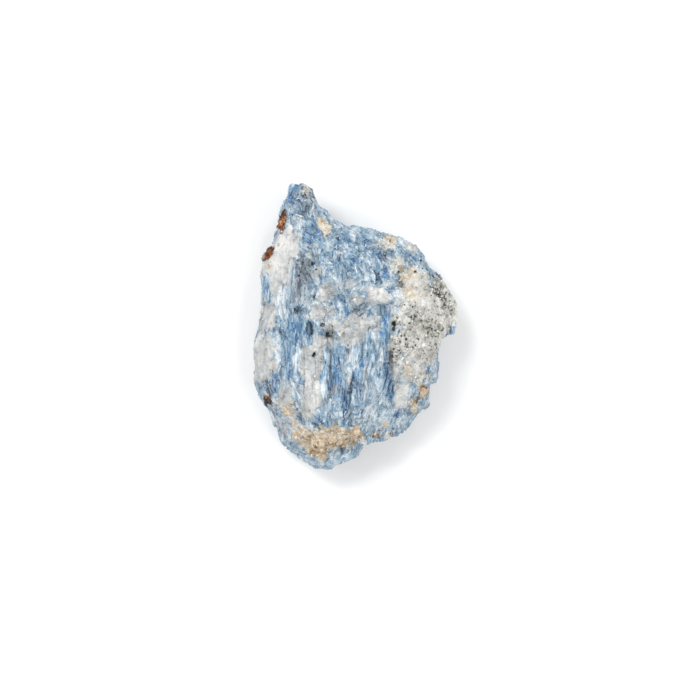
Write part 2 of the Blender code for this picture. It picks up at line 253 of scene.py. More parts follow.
# The way the blades lie, as a lean to the left of Y: middle, reach, degrees, spread of the bundles
flow = [
    (-1.0, -10.0, 8.0, -3, 5), (-13.5, -8.0, 4.0, 6, 5), (-13.0, 4.0, 4.0, 2, 6),
    (-11.5, 25.0, 4.5, -9, 8), (-8.5, 17.5, 4.0, 42, 16), (-3.0, 14.0, 4.0, 30, 45),
    (2.0, 10.5, 4.0, 2, 16), (8.0, 14.0, 5.0, 20, 50), (0.0, 6.5, 3.5, -8, 40),
    (10.5, 7.5, 3.0, 35, 45), (14.0, -16.0, 5.0, -22, 30), (16.5, -7.0, 3.5, -8, 14),
    (-14.0, -23.0, 5.0, 32, 14), (-3.0, -27.5, 3.5, -20, 30), (5.5, -19.0, 4.0, -8, 20),
]


# The points of a polyline at even steps of its length.
def along(edge, share):
    edge = np.array(edge)
    steps = np.hypot(*np.diff(edge, axis=0).T)
    walked = np.concatenate([[0], np.cumsum(steps)]) / steps.sum()
    return np.column_stack([np.interp(share, walked, edge[:, axis]) for axis in (0, 1)])


# The lowest of several planes, with their meeting edges a little rounded.
def lowest(planes, x, y, softness):
    heights = np.stack([h + sx * x + sy * y for h, sx, sy in planes])
    least = heights.min(axis=0)
    return least - softness * np.log(np.exp((least - heights) / softness).sum(axis=0))


# Noise over the ground plane, with waves of about the given length.
def groundNoise(x, y, length, seed):
    flat = np.column_stack([x.ravel(), y.ravel(), 0 * x.ravel()])
    return noise(flat / length, seed).reshape(x.shape)


# Ellipses that raise or sink the ground, each level inside and ramped down at its edge.
def areaHeights(x, y):
    total = np.zeros_like(x)
    rough = groundNoise(x, y, stoneForm["wanderLength"], 5)
    for middleX, middleY, halfX, halfY, degrees, height, soft in stoneForm["areas"]:
        across, up = turned(x, y, middleX, middleY, degrees)
        away = np.hypot(across / halfX, up / halfY) + stoneForm["areaWander"] * rough
        total += height * (1 - ramp(away, 1 - soft, 1 + soft * 0.4))
    return total


# Laths on the ground: each top is a tilted plane, and the sides fall steeply.
def bladeHeights(x, y, ground):
    rng = np.random.default_rng(stoneForm["bladeSeed"])
    slopeAcross, slopeAlong = stoneForm["lathSlopes"]
    side = stoneForm["lathSide"]
    raised = ground.copy()
    for xSpan, ySpan, count, lengths, widths, lean, height in stoneForm["bladeFields"]:
        for _ in range(count):
            middle = rng.uniform(*xSpan), rng.uniform(*ySpan)
            half = rng.uniform(*lengths) / 2, rng.uniform(*widths) / 2
            across, up = turned(x, y, *middle, lean + rng.normal(0, stoneForm["lathTurn"]))
            lift = height * rng.uniform(0.15, 1.0)
            tiltAlong = rng.normal(0, slopeAlong)
            tiltAcross = rng.normal(0, slopeAcross)
            outside = np.maximum(np.abs(across) - half[1], (np.abs(up) - half[0]) * 0.6)
            top = lift + tiltAlong * up + tiltAcross * across - side * np.maximum(outside, 0)
            near = (outside < 1.0) & (top > 0)
            raised = np.where(near, np.maximum(raised, ground + top), raised)
    return raised


# Domes on the ground, flat-topped and steep at the rim.
def grainHeights(x, y, ground):
    raised = ground.copy()
    for middleX, middleY, radius, height in stoneForm["grains"]:
        away = np.hypot(x - middleX, y - middleY) / radius
        dome = height * (1 - away**3)
        raised = np.where(away < 1, np.maximum(raised, ground + dome), raised)
    return raised


def crown(x, y):
    ground = lowest(stoneForm["crownFaces"], x, y, stoneForm["crownSoftness"]) + areaHeights(x, y)
    return grainHeights(x, y, bladeHeights(x, y, ground))


# The highest of the under planes, roughened, and never below the flat that the stone rests on.
def underside(x, y):
    upsideDown = [(-h, -sx, -sy) for h, sx, sy in stoneForm["underFaces"]]
    highest = -lowest(upsideDown, x, y, stoneForm["underSoftness"])
    rolls = stoneForm["roll"] * groundNoise(x, y, stoneForm["rollLength"], 7)
    return np.maximum(highest + rolls, 0)


# One closed section, from the left edge over the top to the right edge and back underneath, as
# shares of width and height: the cosine and sine of an angle, each to a power, at even steps
# that are wider below.
def section(count, topPower=0.42, bottomPower=0.5, pastFull=1.12, underShare=0.55):
    fine = np.linspace(0, 2 * np.pi, 4000)
    share = (1 - np.sign(np.cos(fine)) * np.abs(np.cos(fine)) ** 0.8) / 2
    upper = fine <= np.pi
    rise = np.abs(np.sin(fine)) ** np.where(upper, topPower, bottomPower)
    rise = np.minimum(rise * pastFull, 1) * np.where(upper, 1, -1)
    width, halfHeight = stoneForm["sectionSize"]
    pathX, pathZ = share * width, rise * halfHeight
    steps = np.hypot(np.diff(pathX), np.diff(pathZ)) * np.where(upper[1:], 1, underShare)
    walked = np.concatenate([[0], np.cumsum(steps)])
    even = np.interp(np.arange(count) / count * walked[-1], walked, fine)
    return np.interp(even, fine, share), np.interp(even, fine, rise)


# The surface before it is broken up: at row r and column c the plan point is the left edge plus
# the section's share of the way to the right edge, and the height is the rim's plus the section's
# rise of the way to the crown or the underside.
def plainSurface(rows, columns):
    ends, room = stoneForm["endShare"], stoneForm["rimRoom"]
    share = np.linspace(ends, 1 - ends, rows)
    left = along(stoneForm["leftEdge"], share)
    right = along(stoneForm["rightEdge"], share)
    across, rise = section(columns)
    plan = left[:, None] + (right - left)[:, None] * across[None, :, None]
    x, y = plan[..., 0], plan[..., 1]
    top = crown(x, y)
    under = underside(x, y)
    rim = np.clip(stoneForm["rimHeight"] + stoneForm["rimSlope"] * y, under + room, top - room)
    z = np.where(rise > 0, rim + (top - rim) * rise, rim + (rim - under) * rise)
    return np.stack([x, y, z], axis=-1)


# How far each point is inside the ellipses of a list, from 0 to 1: 1 as far out as inner and 0
# from outer on, as shares of an ellipse's half lengths, with a rough edge.
def insideAreas(points, areas, rough, inner, outer):
    most = np.zeros(len(points))
    for middleX, middleY, halfX, halfY in areas:
        away = np.hypot((points[:, 0] - middleX) / halfX, (points[:, 1] - middleY) / halfY)
        most = np.maximum(most, 1 - ramp(away + rough, inner, outer))
    return most


# How far each point is inside what breaks into blocks, from 0 to 1.
def stoniness(points):
    rough = stoneForm["stonyWander"] * noise(points / stoneForm["wanderLength"], 5)
    return insideAreas(points, stoneForm["stonyAreas"], rough, 0.85, 1.15)


# The lean and its spread at each point: the flow list's values, weighed by nearness.
def flowAt(x, y):
    weight, lean, spread = 1e-6, 0.0, 0.0
    for middleX, middleY, reach, degrees, wander in flow:
        near = np.exp(-((x - middleX) ** 2 + (y - middleY) ** 2) / reach**2)
        weight = weight + near
        lean = lean + near * degrees
        spread = spread + near * wander
    return lean / weight, spread / weight


# How felted the blades are at each point, from 0 to 1.
def feltAt(points):
    return insideAreas(points, feltAreas, 0.25 * noise(points / 2.4, 8), 0.8, 1.1)


# The bundle of blades that each point is in: its middle, and the way its blades lie, in degrees.
def bundles(points):
    felt = feltAt(points) > 0.5
    found = []
    for size, seed in fineBreaks["bundles"]:
        cell = nearestCell(points / size, seed)
        number = cellNumbers(cell, seed, 5)
        middle = (cell + number[:3].T) * size
        lean, spread = flowAt(middle[:, 0], middle[:, 1])
        found.append((middle, lean + spread * (number[3] * 2 - 1) * 1.4, number[4]))
    coarse, fine = found
    return [
        np.where(felt.reshape(-1, *[1] * (own.ndim - 1)), short, own) for own, short in zip(coarse, fine)
    ]


# Points seen from their bundle: across the blades, along them, and up.
def inBundle(points, middle, lean, own):
    across, up = turned(points[..., 0], points[..., 1], middle[..., 0], middle[..., 1], lean)
    return np.stack([across + 40 * own, up + 70 * own, points[..., 2]], axis=-1)


# The way into the stone at each point of the grid
def inward(points):
    across = np.roll(points, -1, axis=1) - np.roll(points, 1, axis=1)
    return unit(np.cross(across, np.gradient(points, axis=0)))


# The broken surface stands in or out along its own normal: first by the plain solid's steps, then
# by the smaller blades, by quartz faces, by blocks and grit, by the rust's crust, and by the pits.
# The flat underside stays flat. It also gives each point's tones, one for each kind of face.
def roughened(points, mix, local):
    flat = points.reshape(-1, 3)
    stony = stoniness(flat)
    steps = broken(flat, stoneForm["block"], 1)[0] * stony
    steps += broken(flat, np.array(stoneForm["blade"]), 3)[0] * (1 - stony)
    swell = stoneForm["swell"] * noise(flat / stoneForm["swellLength"], 6)
    amount = stoneForm["step"] * steps + swell
    glass = ramp(mix["quartz"], 0.35, 0.6)
    rock = ramp(np.maximum.reduce([mix[kind] for kind in ("schist", "clay", "rust")]), 0.35, 0.6)
    shares = {
        "blade": (1 - glass) * (1 - rock), "splinter": (1 - 0.8 * glass) * (1 - rock),
        "quartz": glass * (1 - rock), "block": 0.28 * glass + rock, "grit": 0.22 * glass + rock,
    }
    tones = {}
    for kind, share in shares.items():
        size, seed, rise, tilt = fineBreaks[kind]
        where = local if kind in ("blade", "splinter") else flat
        height, tones[kind] = broken(where, np.array(size), seed, tilt)
        amount += rise * share * height
    amount -= fineBreaks["crust"] * ramp(mix["rust"], 0.4, 0.6)
    for middleX, middleY, halfX, halfY, degrees, depth in pits:
        across, up = turned(flat[:, 0], flat[:, 1], middleX, middleY, degrees)
        away = np.hypot(across / halfX, up / halfY) + 0.25 * noise(flat / 0.5, 9)
        amount += depth * (1 - ramp(away, 0.7, 1.25)) * (flat[:, 2] > 12)
    amount = amount.reshape(points.shape[:2]) * ramp(points[..., 2], 0.0, stoneForm["fadeHeight"])
    return points + inward(points) * amount[..., None] * stoneForm["rimShare"], tones


# Puts the surface in the plain solid's box, in metres.
def toBox(points, low, high):
    least = points.reshape(-1, 3).min(axis=0)
    most = points.reshape(-1, 3).max(axis=0)
    share = (points - least) / (most - least)
    return np.array(low) + share * (np.array(high) - np.array(low))


# Small tools for meshes

def newObject(name, vertices, faces, smooth=False):
    mesh = bpy.data.meshes.new(name)
    mesh.from_pydata(vertices.tolist(), [], faces)
    mesh.polygons.foreach_set("use_smooth", np.full(len(mesh.polygons), smooth))
    piece = bpy.data.objects.new(name, mesh)
    bpy.context.scene.collection.objects.link(piece)
    return piece


def addAttribute(mesh, name, kind, domain, values):
    field = {"FLOAT": "value", "FLOAT_VECTOR": "vector"}[kind]
    layer = mesh.attributes.new(name, kind, domain)
    layer.data.foreach_set(field, np.ascontiguousarray(values, np.float32).ravel())


# The closed grid as a mesh: quads between the rows, and a fan on each end.
def gridMesh(name, points):
    rows, columns = points.shape[:2]
    ring = np.arange(rows * columns).reshape(rows, columns)
    after = np.roll(ring, -1, axis=1)
    quads = np.stack([ring[:-1], after[:-1], after[1:], ring[1:]], axis=-1).reshape(-1, 4)
    first, last = rows * columns, rows * columns + 1
    head = np.column_stack([np.full(columns, first), after[0], ring[0]])
    tail = np.column_stack([np.full(columns, last), ring[-1], after[-1]])
    ends = [points[0].mean(axis=0), points[-1].mean(axis=0)]
    vertices = np.vstack([points.reshape(-1, 3), ends])
    return newObject(name, vertices, quads.tolist() + head.tolist() + tail.tolist(), True)


# Keeps the most telling faces of a mesh that was worked out finer than it can be kept.
def fewerFaces(piece, triangles):
    full = sum(len(face.vertices) - 2 for face in piece.data.polygons)
    piece.modifiers.new("triangles", "TRIANGULATE")
    fewer = piece.modifiers.new("fewer", "DECIMATE")
    fewer.ratio = triangles / full
    graph = bpy.context.evaluated_depsgraph_get()
    made = bpy.data.meshes.new_from_object(piece.evaluated_get(graph))
    piece.modifiers.clear()
    piece.data = made


# Each vertex moved to the mean of its neighbours, a number of times.
def softened(places, edges, rounds):
    counts = np.bincount(edges.ravel(), minlength=len(places))[:, None]
    for _ in range(rounds):
        total = np.column_stack([
            np.bincount(edges[:, 0], places[edges[:, 1], axis], len(places))
            + np.bincount(edges[:, 1], places[edges[:, 0], axis], len(places))
            for axis in range(3)
        ])
        places = total / counts
    return places


def cornerNormals(places, corners):
    first, second, third = (places[corners[:, n]] for n in range(3))
    return np.cross(second - first, third - first)


# What the small pieces and the patches need to know of the stone's surface, in millimetres:
# its places and triangles, a broad normal for each vertex from the softened surface, and how far
# each vertex lies under the softened surface, which is above zero in a pit and below on a ridge.
# That last number is painted as shade in pits and as a lighter tone on ridges.
def readSurface(mesh):
    places = np.empty(len(mesh.vertices) * 3, np.float32)
    mesh.vertices.foreach_get("co", places)
    places = places.reshape(-1, 3).astype(float) / mm
    corners = np.empty(len(mesh.loops), np.int32)
    mesh.loops.foreach_get("vertex_index", corners)
    corners = corners.reshape(-1, 3)
    edges = np.empty(len(mesh.edges) * 2, np.int32)
    mesh.edges.foreach_get("vertices", edges)
    edges = edges.reshape(-1, 2)
    near = softened(places, edges, 5)
    broad = softened(near, edges, 30)
    faceNormals = cornerNormals(broad, corners)
    normals = np.column_stack([
        sum(np.bincount(corners[:, n], faceNormals[:, axis], len(places)) for n in range(3))
        for axis in range(3)
    ])
    normals = unit(normals)
    hollow = 0.6 * ((near - places) * normals).sum(axis=1) / 0.10
    hollow += 0.4 * ((broad - places) * normals).sum(axis=1) / 0.30
    return {
        "places": places,
        "corners": corners,
        "normals": normals,
        "centres": places[corners].mean(axis=1),
        "areas": np.linalg.norm(cornerNormals(places, corners), axis=1) / 2,
        "hollow": np.clip(hollow, -1.5, 1.5),
    }


# Where each kind of mineral shows: middle, half lengths, turn in degrees, strength. A strength
# below zero takes the kind away.

minerals = {
    "quartz": [
        (-15.7, 14.6, 3.4, 6.6, -22, 1.15), (-17.8, 13.4, 1.8, 4.2, -28, 0.9),
        (-16.6, 8.6, 1.6, 3.2, 0, 0.9), (-14.4, 9.6, 1.0, 2.4, -12, 0.9),
        (-18.9, -2.8, 1.9, 9.0, 3, 1.0), (-17.3, 2.0, 1.0, 4.0, 4, 0.8), (-9.2, -7.8, 2.5, 4.9, -6, 1.0),
        (-9.3, -15.2, 1.9, 4.2, -14, 1.05), (-15.0, -14.6, 1.7, 3.4, 8, 0.95), (-0.6, -0.7, 3.1, 3.0, 0, 1.1),
        (0.3, 5.8, 1.3, 1.3, 0, 1.1), (3.9, 0.6, 1.2, 1.5, 0, 1.05), (3.4, 6.2, 2.2, 2.6, 20, 1.0),
        (6.0, 5.6, 1.6, 1.4, 0, 0.8), (-6.2, 7.0, 1.9, 1.5, 0, 0.95), (-7.7, 11.0, 0.8, 1.4, 15, 1.0),
        (-8.2, 2.6, 1.9, 1.5, 0, 1.05), (-5.0, 3.0, 1.8, 0.8, -20, 0.8), (-5.2, 0.0, 2.0, 2.0, 0, 0.75),
        (-6.0, -3.2, 2.4, 1.5, 0, 0.95), (9.9, -14.6, 1.9, 2.8, -14, 1.2), (8.1, -9.0, 1.1, 3.6, 4, 1.0),
        (-1.6, -10.6, 0.5, 1.8, -4, 0.9), (-10.6, -21.4, 1.8, 0.7, 0, 0.6), (-3.6, 5.0, 0.5, 2.2, -20, -1.0),
        (-2.1, 3.8, 0.5, 2.0, 12, -1.0), (1.0, 3.9, 1.6, 0.4, -4, -1.0), (2.2, 6.0, 0.35, 1.2, 0, -1.0),
        (3.6, 2.8, 1.3, 0.4, 30, -1.0), (-15.1, 7.9, 0.6, 0.6, 0, -0.8), (-18.9, 9.0, 0.6, 2.8, 0, -0.9),
        (-20.6, -5.0, 1.8, 9.0, 2, 0.9), (12.2, -9.2, 3.4, 3.6, 0, 0.85), (-16.0, -21.0, 1.2, 3.0, 30, 0.55),
        (15.0, -4.6, 2.0, 1.6, 0, 0.8), (-4.4, -13.6, 0.7, 2.6, -6, 0.6), (3.0, -12.6, 0.7, 2.2, -3, 0.55),
        (-2.4, 8.4, 2.6, 0.8, 0, 0.7), (-14.2, -16.4, 1.9, 4.4, 20, 0.75),
        (-9.6, -13.4, 2.2, 3.4, -14, 0.8), (6.6, 8.4, 1.2, 0.9, 0, 0.6), (14.8, -17.0, 0.9, 0.9, 0, 0.6),
    ],
    "schist": [
        (14.4, 1.2, 6.0, 6.6, 10, 1.05), (12.6, 8.6, 3.6, 3.4, -20, 1.0), (10.9, -3.4, 3.6, 3.4, 0, 1.05),
        (14.5, -6.2, 2.4, 1.9, 20, 0.9), (8.0, 0.5, 1.2, 2.2, 0, 0.7), (6.6, 16.9, 1.9, 2.0, -20, 0.9),
        (8.6, 13.2, 1.6, 0.9, 0, 0.85), (-10.3, 28.0, 0.9, 1.2, 0, 1.0), (6.9, -23.2, 0.8, 0.9, 0, 1.1),
        (18.8, -0.3, 1.6, 1.8, 30, 0.9), (12.6, -10.0, 2.4, 1.6, 0, 0.7), (17.6, 7.8, 1.6, 3.4, 26, 1.0),
        (20.6, 4.0, 2.0, 5.2, 10, 1.0), (9.2, -6.6, 1.6, 2.6, 0, 0.8), (8.8, 11.6, 2.2, 1.4, -30, 0.6),
        (11.6, 16.4, 2.0, 1.0, -28, 0.6), (16.4, 4.2, 3.4, 3.6, 10, 1.0),
    ],
    "clay": [
        (-5.8, -23.8, 6.6, 2.9, 8, 1.1), (-11.4, -23.0, 2.0, 2.0, 20, 0.9), (-0.6, -21.7, 1.6, 1.4, 0, 1.05),
        (-6.7, 20.4, 1.4, 2.1, 20, 0.95), (3.6, -22.5, 2.2, 0.5, 10, 0.9), (14.2, -13.2, 1.2, 1.5, 10, 0.95),
        (10.9, -8.6, 0.9, 1.1, 0, 0.8), (12.2, -17.0, 0.8, 1.6, -20, 0.7), (-14.2, -17.6, 1.2, 1.6, 20, 0.75),
        (12.2, 11.8, 0.7, 0.7, 0, 0.8), (5.9, -20.5, 1.6, 0.6, 10, 0.6), (11.2, 7.3, 1.2, 0.7, -20, 0.6),
        (-18.3, 12.8, 0.5, 1.4, -25, 0.7), (-9.3, 13.3, 0.5, 0.5, 20, 0.7), (-11.5, 7.4, 0.3, 0.7, 5, 0.6),
        (-16.1, -9.6, 0.3, 0.4, 0, 0.6), (12.3, 12.0, 0.5, 0.6, 10, 0.7), (-8.6, -25.6, 3.4, 2.0, -30, 0.9),
        (-12.6, -21.0, 1.0, 2.4, 10, 0.55), (-13.6, -17.0, 1.0, 2.0, 10, 0.5),
        (12.8, -16.6, 0.8, 2.2, -20, 0.65),
        (10.2, 11.0, 3.0, 1.6, -30, 0.45), (11.4, 6.6, 1.2, 1.8, 0, 0.5), (7.4, 17.4, 1.2, 0.8, -20, 0.6),
        (15.4, -10.6, 1.0, 1.0, 0, 0.55), (-17.6, -9.0, 0.6, 1.6, 10, 0.5),
    ],
    # slate patches: grey-blue stone, and partly painted shade on a wall turned from the light and under a
    # ledge
    "slate": [
        (-11.7, 9.4, 1.6, 5.6, -3, 1.4), (-9.3, 10.4, 0.7, 1.5, 20, 0.8), (-17.7, -16.6, 1.2, 4.6, 12, 0.75),
        (-18.0, -13.0, 0.6, 3.0, 14, 1.0), (-14.2, -19.4, 1.0, 0.9, 0, 0.9),
        (-15.4, -22.6, 1.2, 3.2, 28, 0.7),
        (-9.6, 25.4, 1.3, 3.4, -10, 0.8), (9.3, 8.9, 0.9, 1.1, 25, 1.0), (7.9, -21.6, 1.0, 0.6, -5, 1.1),
        (17.3, -6.4, 0.6, 3.2, 0, 0.85), (13.2, -15.2, 0.8, 1.8, 0, 0.7), (11.2, 15.3, 2.4, 2.0, -30, 0.4),
        (-6.6, 5.4, 1.2, 0.45, 15, 0.9), (6.4, 13.8, 2.4, 0.9, -30, 0.7), (-9.0, 15.6, 1.6, 1.2, 40, 0.7),
        (-10.8, 3.4, 1.8, 0.5, 10, 0.8), (-8.0, -27.8, 3.5, 0.9, -8, 0.6), (2.6, -15.6, 0.9, 2.0, 0, 0.6),
        (-9.9, 7.6, 0.4, 1.8, -3, -0.8), (0.5, 3.0, 1.6, 0.35, -3, 0.9), (4.4, -21.3, 2.2, 0.8, 10, 0.6),
        (12.4, 1.4, 2.2, 2.6, 20, 0.8), (17.9, 7.2, 1.8, 3.6, 26, 1.2), (15.4, -0.8, 1.8, 1.8, 20, 1.0),
        (10.6, 12.6, 0.8, 1.0, 0, 0.8), (8.6, -5.2, 1.2, 2.0, 0, 0.7),
    ],
    "rust": [
        (-15.2, 21.4, 0.85, 2.5, -14, 1.05), (-18.4, 15.2, 0.55, 1.8, -35, 1.05),
        (-18.6, -15.4, 0.95, 0.8, 10, 1.05), (3.6, -22.8, 1.8, 0.3, 12, 0.6),
        (14.6, -12.6, 0.7, 0.5, -20, 0.62),
        (-8.5, -25.1, 1.2, 0.5, 10, 0.53), (-5.4, -24.6, 0.5, 0.5, 0, 0.52), (-2.1, -22.2, 0.7, 0.8, 10, 0.5),
        (7.4, -22.6, 0.5, 0.25, 0, 0.6),
    ],
    # dark patches: the stone's own black spots, and painted shade in pits and gaps, under a ledge and on a
    # wall turned from the light
    "dark": [
        (-9.7, -0.5, 0.75, 1.6, 8, 1.0), (-8.6, -5.9, 0.35, 0.7, -35, 1.4), (-5.6, -2.1, 0.8, 0.25, -25, 1.1),
        (-6.9, 0.1, 0.5, 0.35, 20, 1.2), (-8.5, 6.2, 0.4, 0.35, 0, 1.4), (-8.9, 12.7, 0.4, 0.35, 0, 1.4),
        (-5.0, 4.7, 0.25, 0.25, 0, 1.3), (7.6, 0.1, 0.6, 0.6, 0, 1.4), (7.3, -6.4, 0.30, 1.4, 2, 0.9),
        (4.4, 10.2, 0.4, 1.9, 24, 1.1), (-12.0, 3.4, 1.4, 0.4, 12, 0.9), (-18.1, -13.0, 0.4, 2.4, 14, 0.9),
        (-16.5, -13.3, 0.45, 0.5, 0, 1.2), (-2.9, -25.9, 0.35, 1.2, -20, 1.1), (9.4, 8.4, 0.5, 0.6, 30, 1.1),
        (-1.1, -12.4, 0.3, 2.8, -6, 0.9), (-6.9, -6.9, 0.5, 0.8, -15, 0.5), (-10.2, 24.0, 0.5, 1.6, -8, 0.8),
        (-10.9, 27.0, 0.5, 1.0, -20, 0.9), (8.6, -21.8, 0.4, 0.3, 0, 1.0), (13.0, -15.6, 0.4, 0.9, 0, 0.8),
        (16.0, -0.8, 1.3, 1.0, -20, 0.3), (-5.6, -24.9, 5.0, 0.8, 10, 0.3), (0.5, 3.0, 1.5, 0.3, -3, 0.5),
        (-11.9, 9.2, 1.2, 4.8, -3, 0.22),
        (-18.5, -15.9, 0.9, 0.7, 10, 1.5), (-14.9, 22.8, 0.4, 0.5, 0, 0.8), (-17.9, 16.4, 0.4, 0.4, 0, 0.8),
    ],
    "specks": [
        (17.7, 7.4, 1.6, 3.6, 26, 1.0), (19.4, 4.4, 0.8, 1.6, 20, 0.8), (16.2, -1.2, 1.0, 1.4, -20, 0.8),
        (15.6, -4.0, 0.9, 1.6, 0, 0.6), (8.8, 0.6, 0.8, 1.4, 0, 0.7), (8.6, -3.9, 1.4, 2.2, 0, 0.65),
        (11.0, -4.6, 3.4, 1.6, -14, 0.55), (-6.0, -0.8, 1.8, 1.4, -20, 0.6), (-8.8, 12.0, 0.9, 1.2, 10, 0.6),
        (-8.6, 6.0, 1.0, 0.7, 20, 0.7), (13.4, -7.6, 1.2, 1.0, -30, 0.8), (13.6, 12.4, 1.4, 0.8, -30, 0.5),
        (16.5, 10.6, 1.0, 0.9, 0, 0.7), (-10.6, 27.2, 0.9, 1.6, 0, 0.5), (9.6, -2.0, 1.0, 1.8, 0, 0.6),
    ],
    "blue": [
        (-12.7, -1.2, 1.8, 2.8, 0, 0.8), (-14.2, -5.6, 0.9, 4.4, 3, 0.8), (-15.1, 7.9, 0.5, 0.5, 0, 1.2),
        (-4.6, -11.6, 0.9, 2.4, -4, 1.0), (-2.4, -16.4, 0.4, 4.2, -2, 1.5), (6.0, -0.6, 0.9, 4.4, 3, 1.2),
        (6.8, -9.8, 1.0, 5.2, 2, 1.5), (5.9, 10.5, 1.7, 0.9, -28, 1.4), (3.3, 9.9, 0.5, 0.6, 0, 1.1),
        (2.2, 7.2, 0.3, 0.8, 0, 1.0), (-8.2, 19.2, 2.6, 2.4, 45, 0.7), (8.8, -18.4, 0.75, 0.75, 0, 1.9),
        (13.4, -15.4, 0.8, 1.4, 0, 1.0), (11.4, 14.6, 2.0, 1.6, -30, 0.4), (1.0, -9.0, 0.5, 3.0, -4, 0.9),
        (-18.9, 9.2, 0.6, 2.6, 0, 0.7), (-13.4, 27.0, 0.7, 2.4, -12, 0.9), (-2.3, -26.0, 0.5, 1.3, -20, 1.3),
        (-3.5, 4.8, 0.6, 2.2, -20, 1.0), (-2.0, 3.6, 0.5, 1.8, 12, 1.0), (1.0, 3.9, 1.5, 0.45, -3, 1.0),
        (-6.8, -9.4, 0.3, 1.9, -10, 1.6), (-7.7, -5.6, 0.4, 1.1, -38, 1.3),
        (-10.9, -11.2, 0.3, 1.4, -14, 1.3),
        (-10.1, -10.9, 0.3, 1.3, 12, 1.1), (-8.3, -16.3, 0.5, 1.0, -30, 0.9), (-7.4, -20.4, 1.4, 1.0, 0, 0.6),
        (-11.6, -18.2, 0.3, 0.8, 0, 1.2), (19.6, -1.3, 0.8, 0.5, 35, 1.1), (2.0, 17.6, 1.2, 0.7, 0, 0.8),
        (-2.4, 17.2, 2.2, 1.0, 0, 0.7), (5.2, 18.2, 0.7, 0.6, 0, 0.8), (15.4, -9.6, 0.8, 0.8, 0, 0.9),
        (-16.8, -10.8, 0.5, 1.1, 0, 0.9), (-9.6, 17.6, 1.6, 1.2, 40, 0.7), (-1.0, -9.0, 6.0, 7.5, 0, 0.25),
        (-4.2, -11.8, 1.5, 3.0, -4, 0.7), (0.2, -10.4, 0.7, 2.6, -3, 0.7), (2.6, 13.6, 4.0, 3.0, 10, 0.55),
    ],
    "pale": [
        (-15.2, 5.2, 1.6, 3.2, 6, 0.9), (-12.4, -6.6, 0.9, 4.2, 2, 1.0), (-16.4, -6.0, 0.6, 4.0, 2, 0.8),
        (2.0, 11.6, 2.6, 3.0, 0, 0.5), (2.6, -13.0, 1.5, 1.8, 0, 0.9), (9.0, 5.9, 1.6, 1.4, 0, 1.2),
        (-5.6, 4.2, 3.6, 1.2, 0, 0.4), (3.0, -19.4, 3.2, 1.6, 0, 0.6), (15.4, -10.4, 1.2, 1.2, 0, 0.9),
        (-10.6, -21.4, 2.0, 1.0, 0, 0.8), (-15.4, 14.4, 2.9, 6.2, -22, 1.0),
        (-9.0, -14.6, 1.9, 3.6, -14, 0.9),
        (9.8, -14.6, 1.8, 2.6, 0, 1.0), (3.9, 0.8, 1.2, 1.5, 0, 0.8), (6.9, -15.6, 0.3, 2.0, -4, 1.4),
        (-1.6, -10.6, 0.5, 1.8, -4, 1.0), (3.4, 6.2, 2.0, 2.4, 20, 0.8), (-6.4, 7.0, 1.8, 1.4, 0, 0.7),
        (-8.4, 2.6, 1.8, 1.3, 0, 0.7), (12.4, 7.6, 2.6, 3.0, -20, 0.7), (13.2, -2.6, 2.2, 2.2, 0, 0.5),
        (-12.6, 20.0, 1.0, 2.4, -20, 0.8), (5.4, -7.2, 0.8, 2.6, 0, 0.7), (-4.6, -17.4, 1.4, 1.6, 0, 0.5),
        (-0.6, -6.0, 1.2, 1.8, 0, 0.5), (10.8, 17.2, 2.2, 0.8, -28, 0.9),
        (-6.8, 20.2, 1.5, 2.2, 20, 1.6), (-4.0, -22.6, 3.0, 1.0, 5, 0.6), (7.0, -23.0, 0.9, 0.9, 0, 0.8),
        (-18.9, -6.0, 1.6, 6.0, 3, -0.4), (11.5, 15.2, 3.2, 1.5, -30, 0.6), (1.6, -8.6, 1.5, 2.2, 0, 0.6),
        (-2.8, -6.6, 1.1, 1.6, 0, 0.6), (-13.0, 6.6, 1.2, 2.2, 0, 0.6), (9.0, -20.4, 1.8, 0.9, 20, 0.5),
    ],
}
# How each kind's edge runs: how ragged it is, the cells that it follows and how closely, how much
# each cell strays, and how far into a broad noise the kind shows on the hidden underside
mineralEdges = {
    "quartz": (0.20, "block", 0.6, 0.45, 0.34), "schist": (0.20, "block", 0.5, 0.40, 0.42),
    "clay": (0.22, "block", 0.5, 0.30, 0.62), "slate": (0.18, "blade", 0.5, 0.50, 0.60),
    "rust": (0.24, "block", 0.15, 0.10, 0.90), "dark": (0.14, "blade", 0.2, 0.20, 0.80),
    "specks": (0.20, "block", 0.3, 0.30, 0.70), "blue": (0.22, "blade", 0.5, 0.45, 0.30),
    "pale": (0.22, "blade", 0.5, 0.50, 0.35),
}
# The cells that edges follow: size and seed
edgeCells = {"block": ((1.3, 1.6, 1.3), 51), "blade": ((0.8, 3.6, 0.8), 52)}


# The way from each point to the middle of its cell, in the ground plane, and a number that the
# whole cell shares. Blade cells are turned with their bundle.
def toCells(points, local, lean):
    found = {}
    for kind, (size, seed) in edgeCells.items():
        own = local if kind == "blade" else points
        best = nearestCell(own / size, seed)
        number = cellNumbers(best, seed, 4)
        way = (best + number[:3].T) * size - own
        angle = np.radians(lean if kind == "blade" else 0 * lean)
        dx = way[:, 0] * np.cos(angle) - way[:, 1] * np.sin(angle)
        dy = way[:, 0] * np.sin(angle) + way[:, 1] * np.cos(angle)
        found[kind] = dx, dy, number[3] - 0.5
    return found


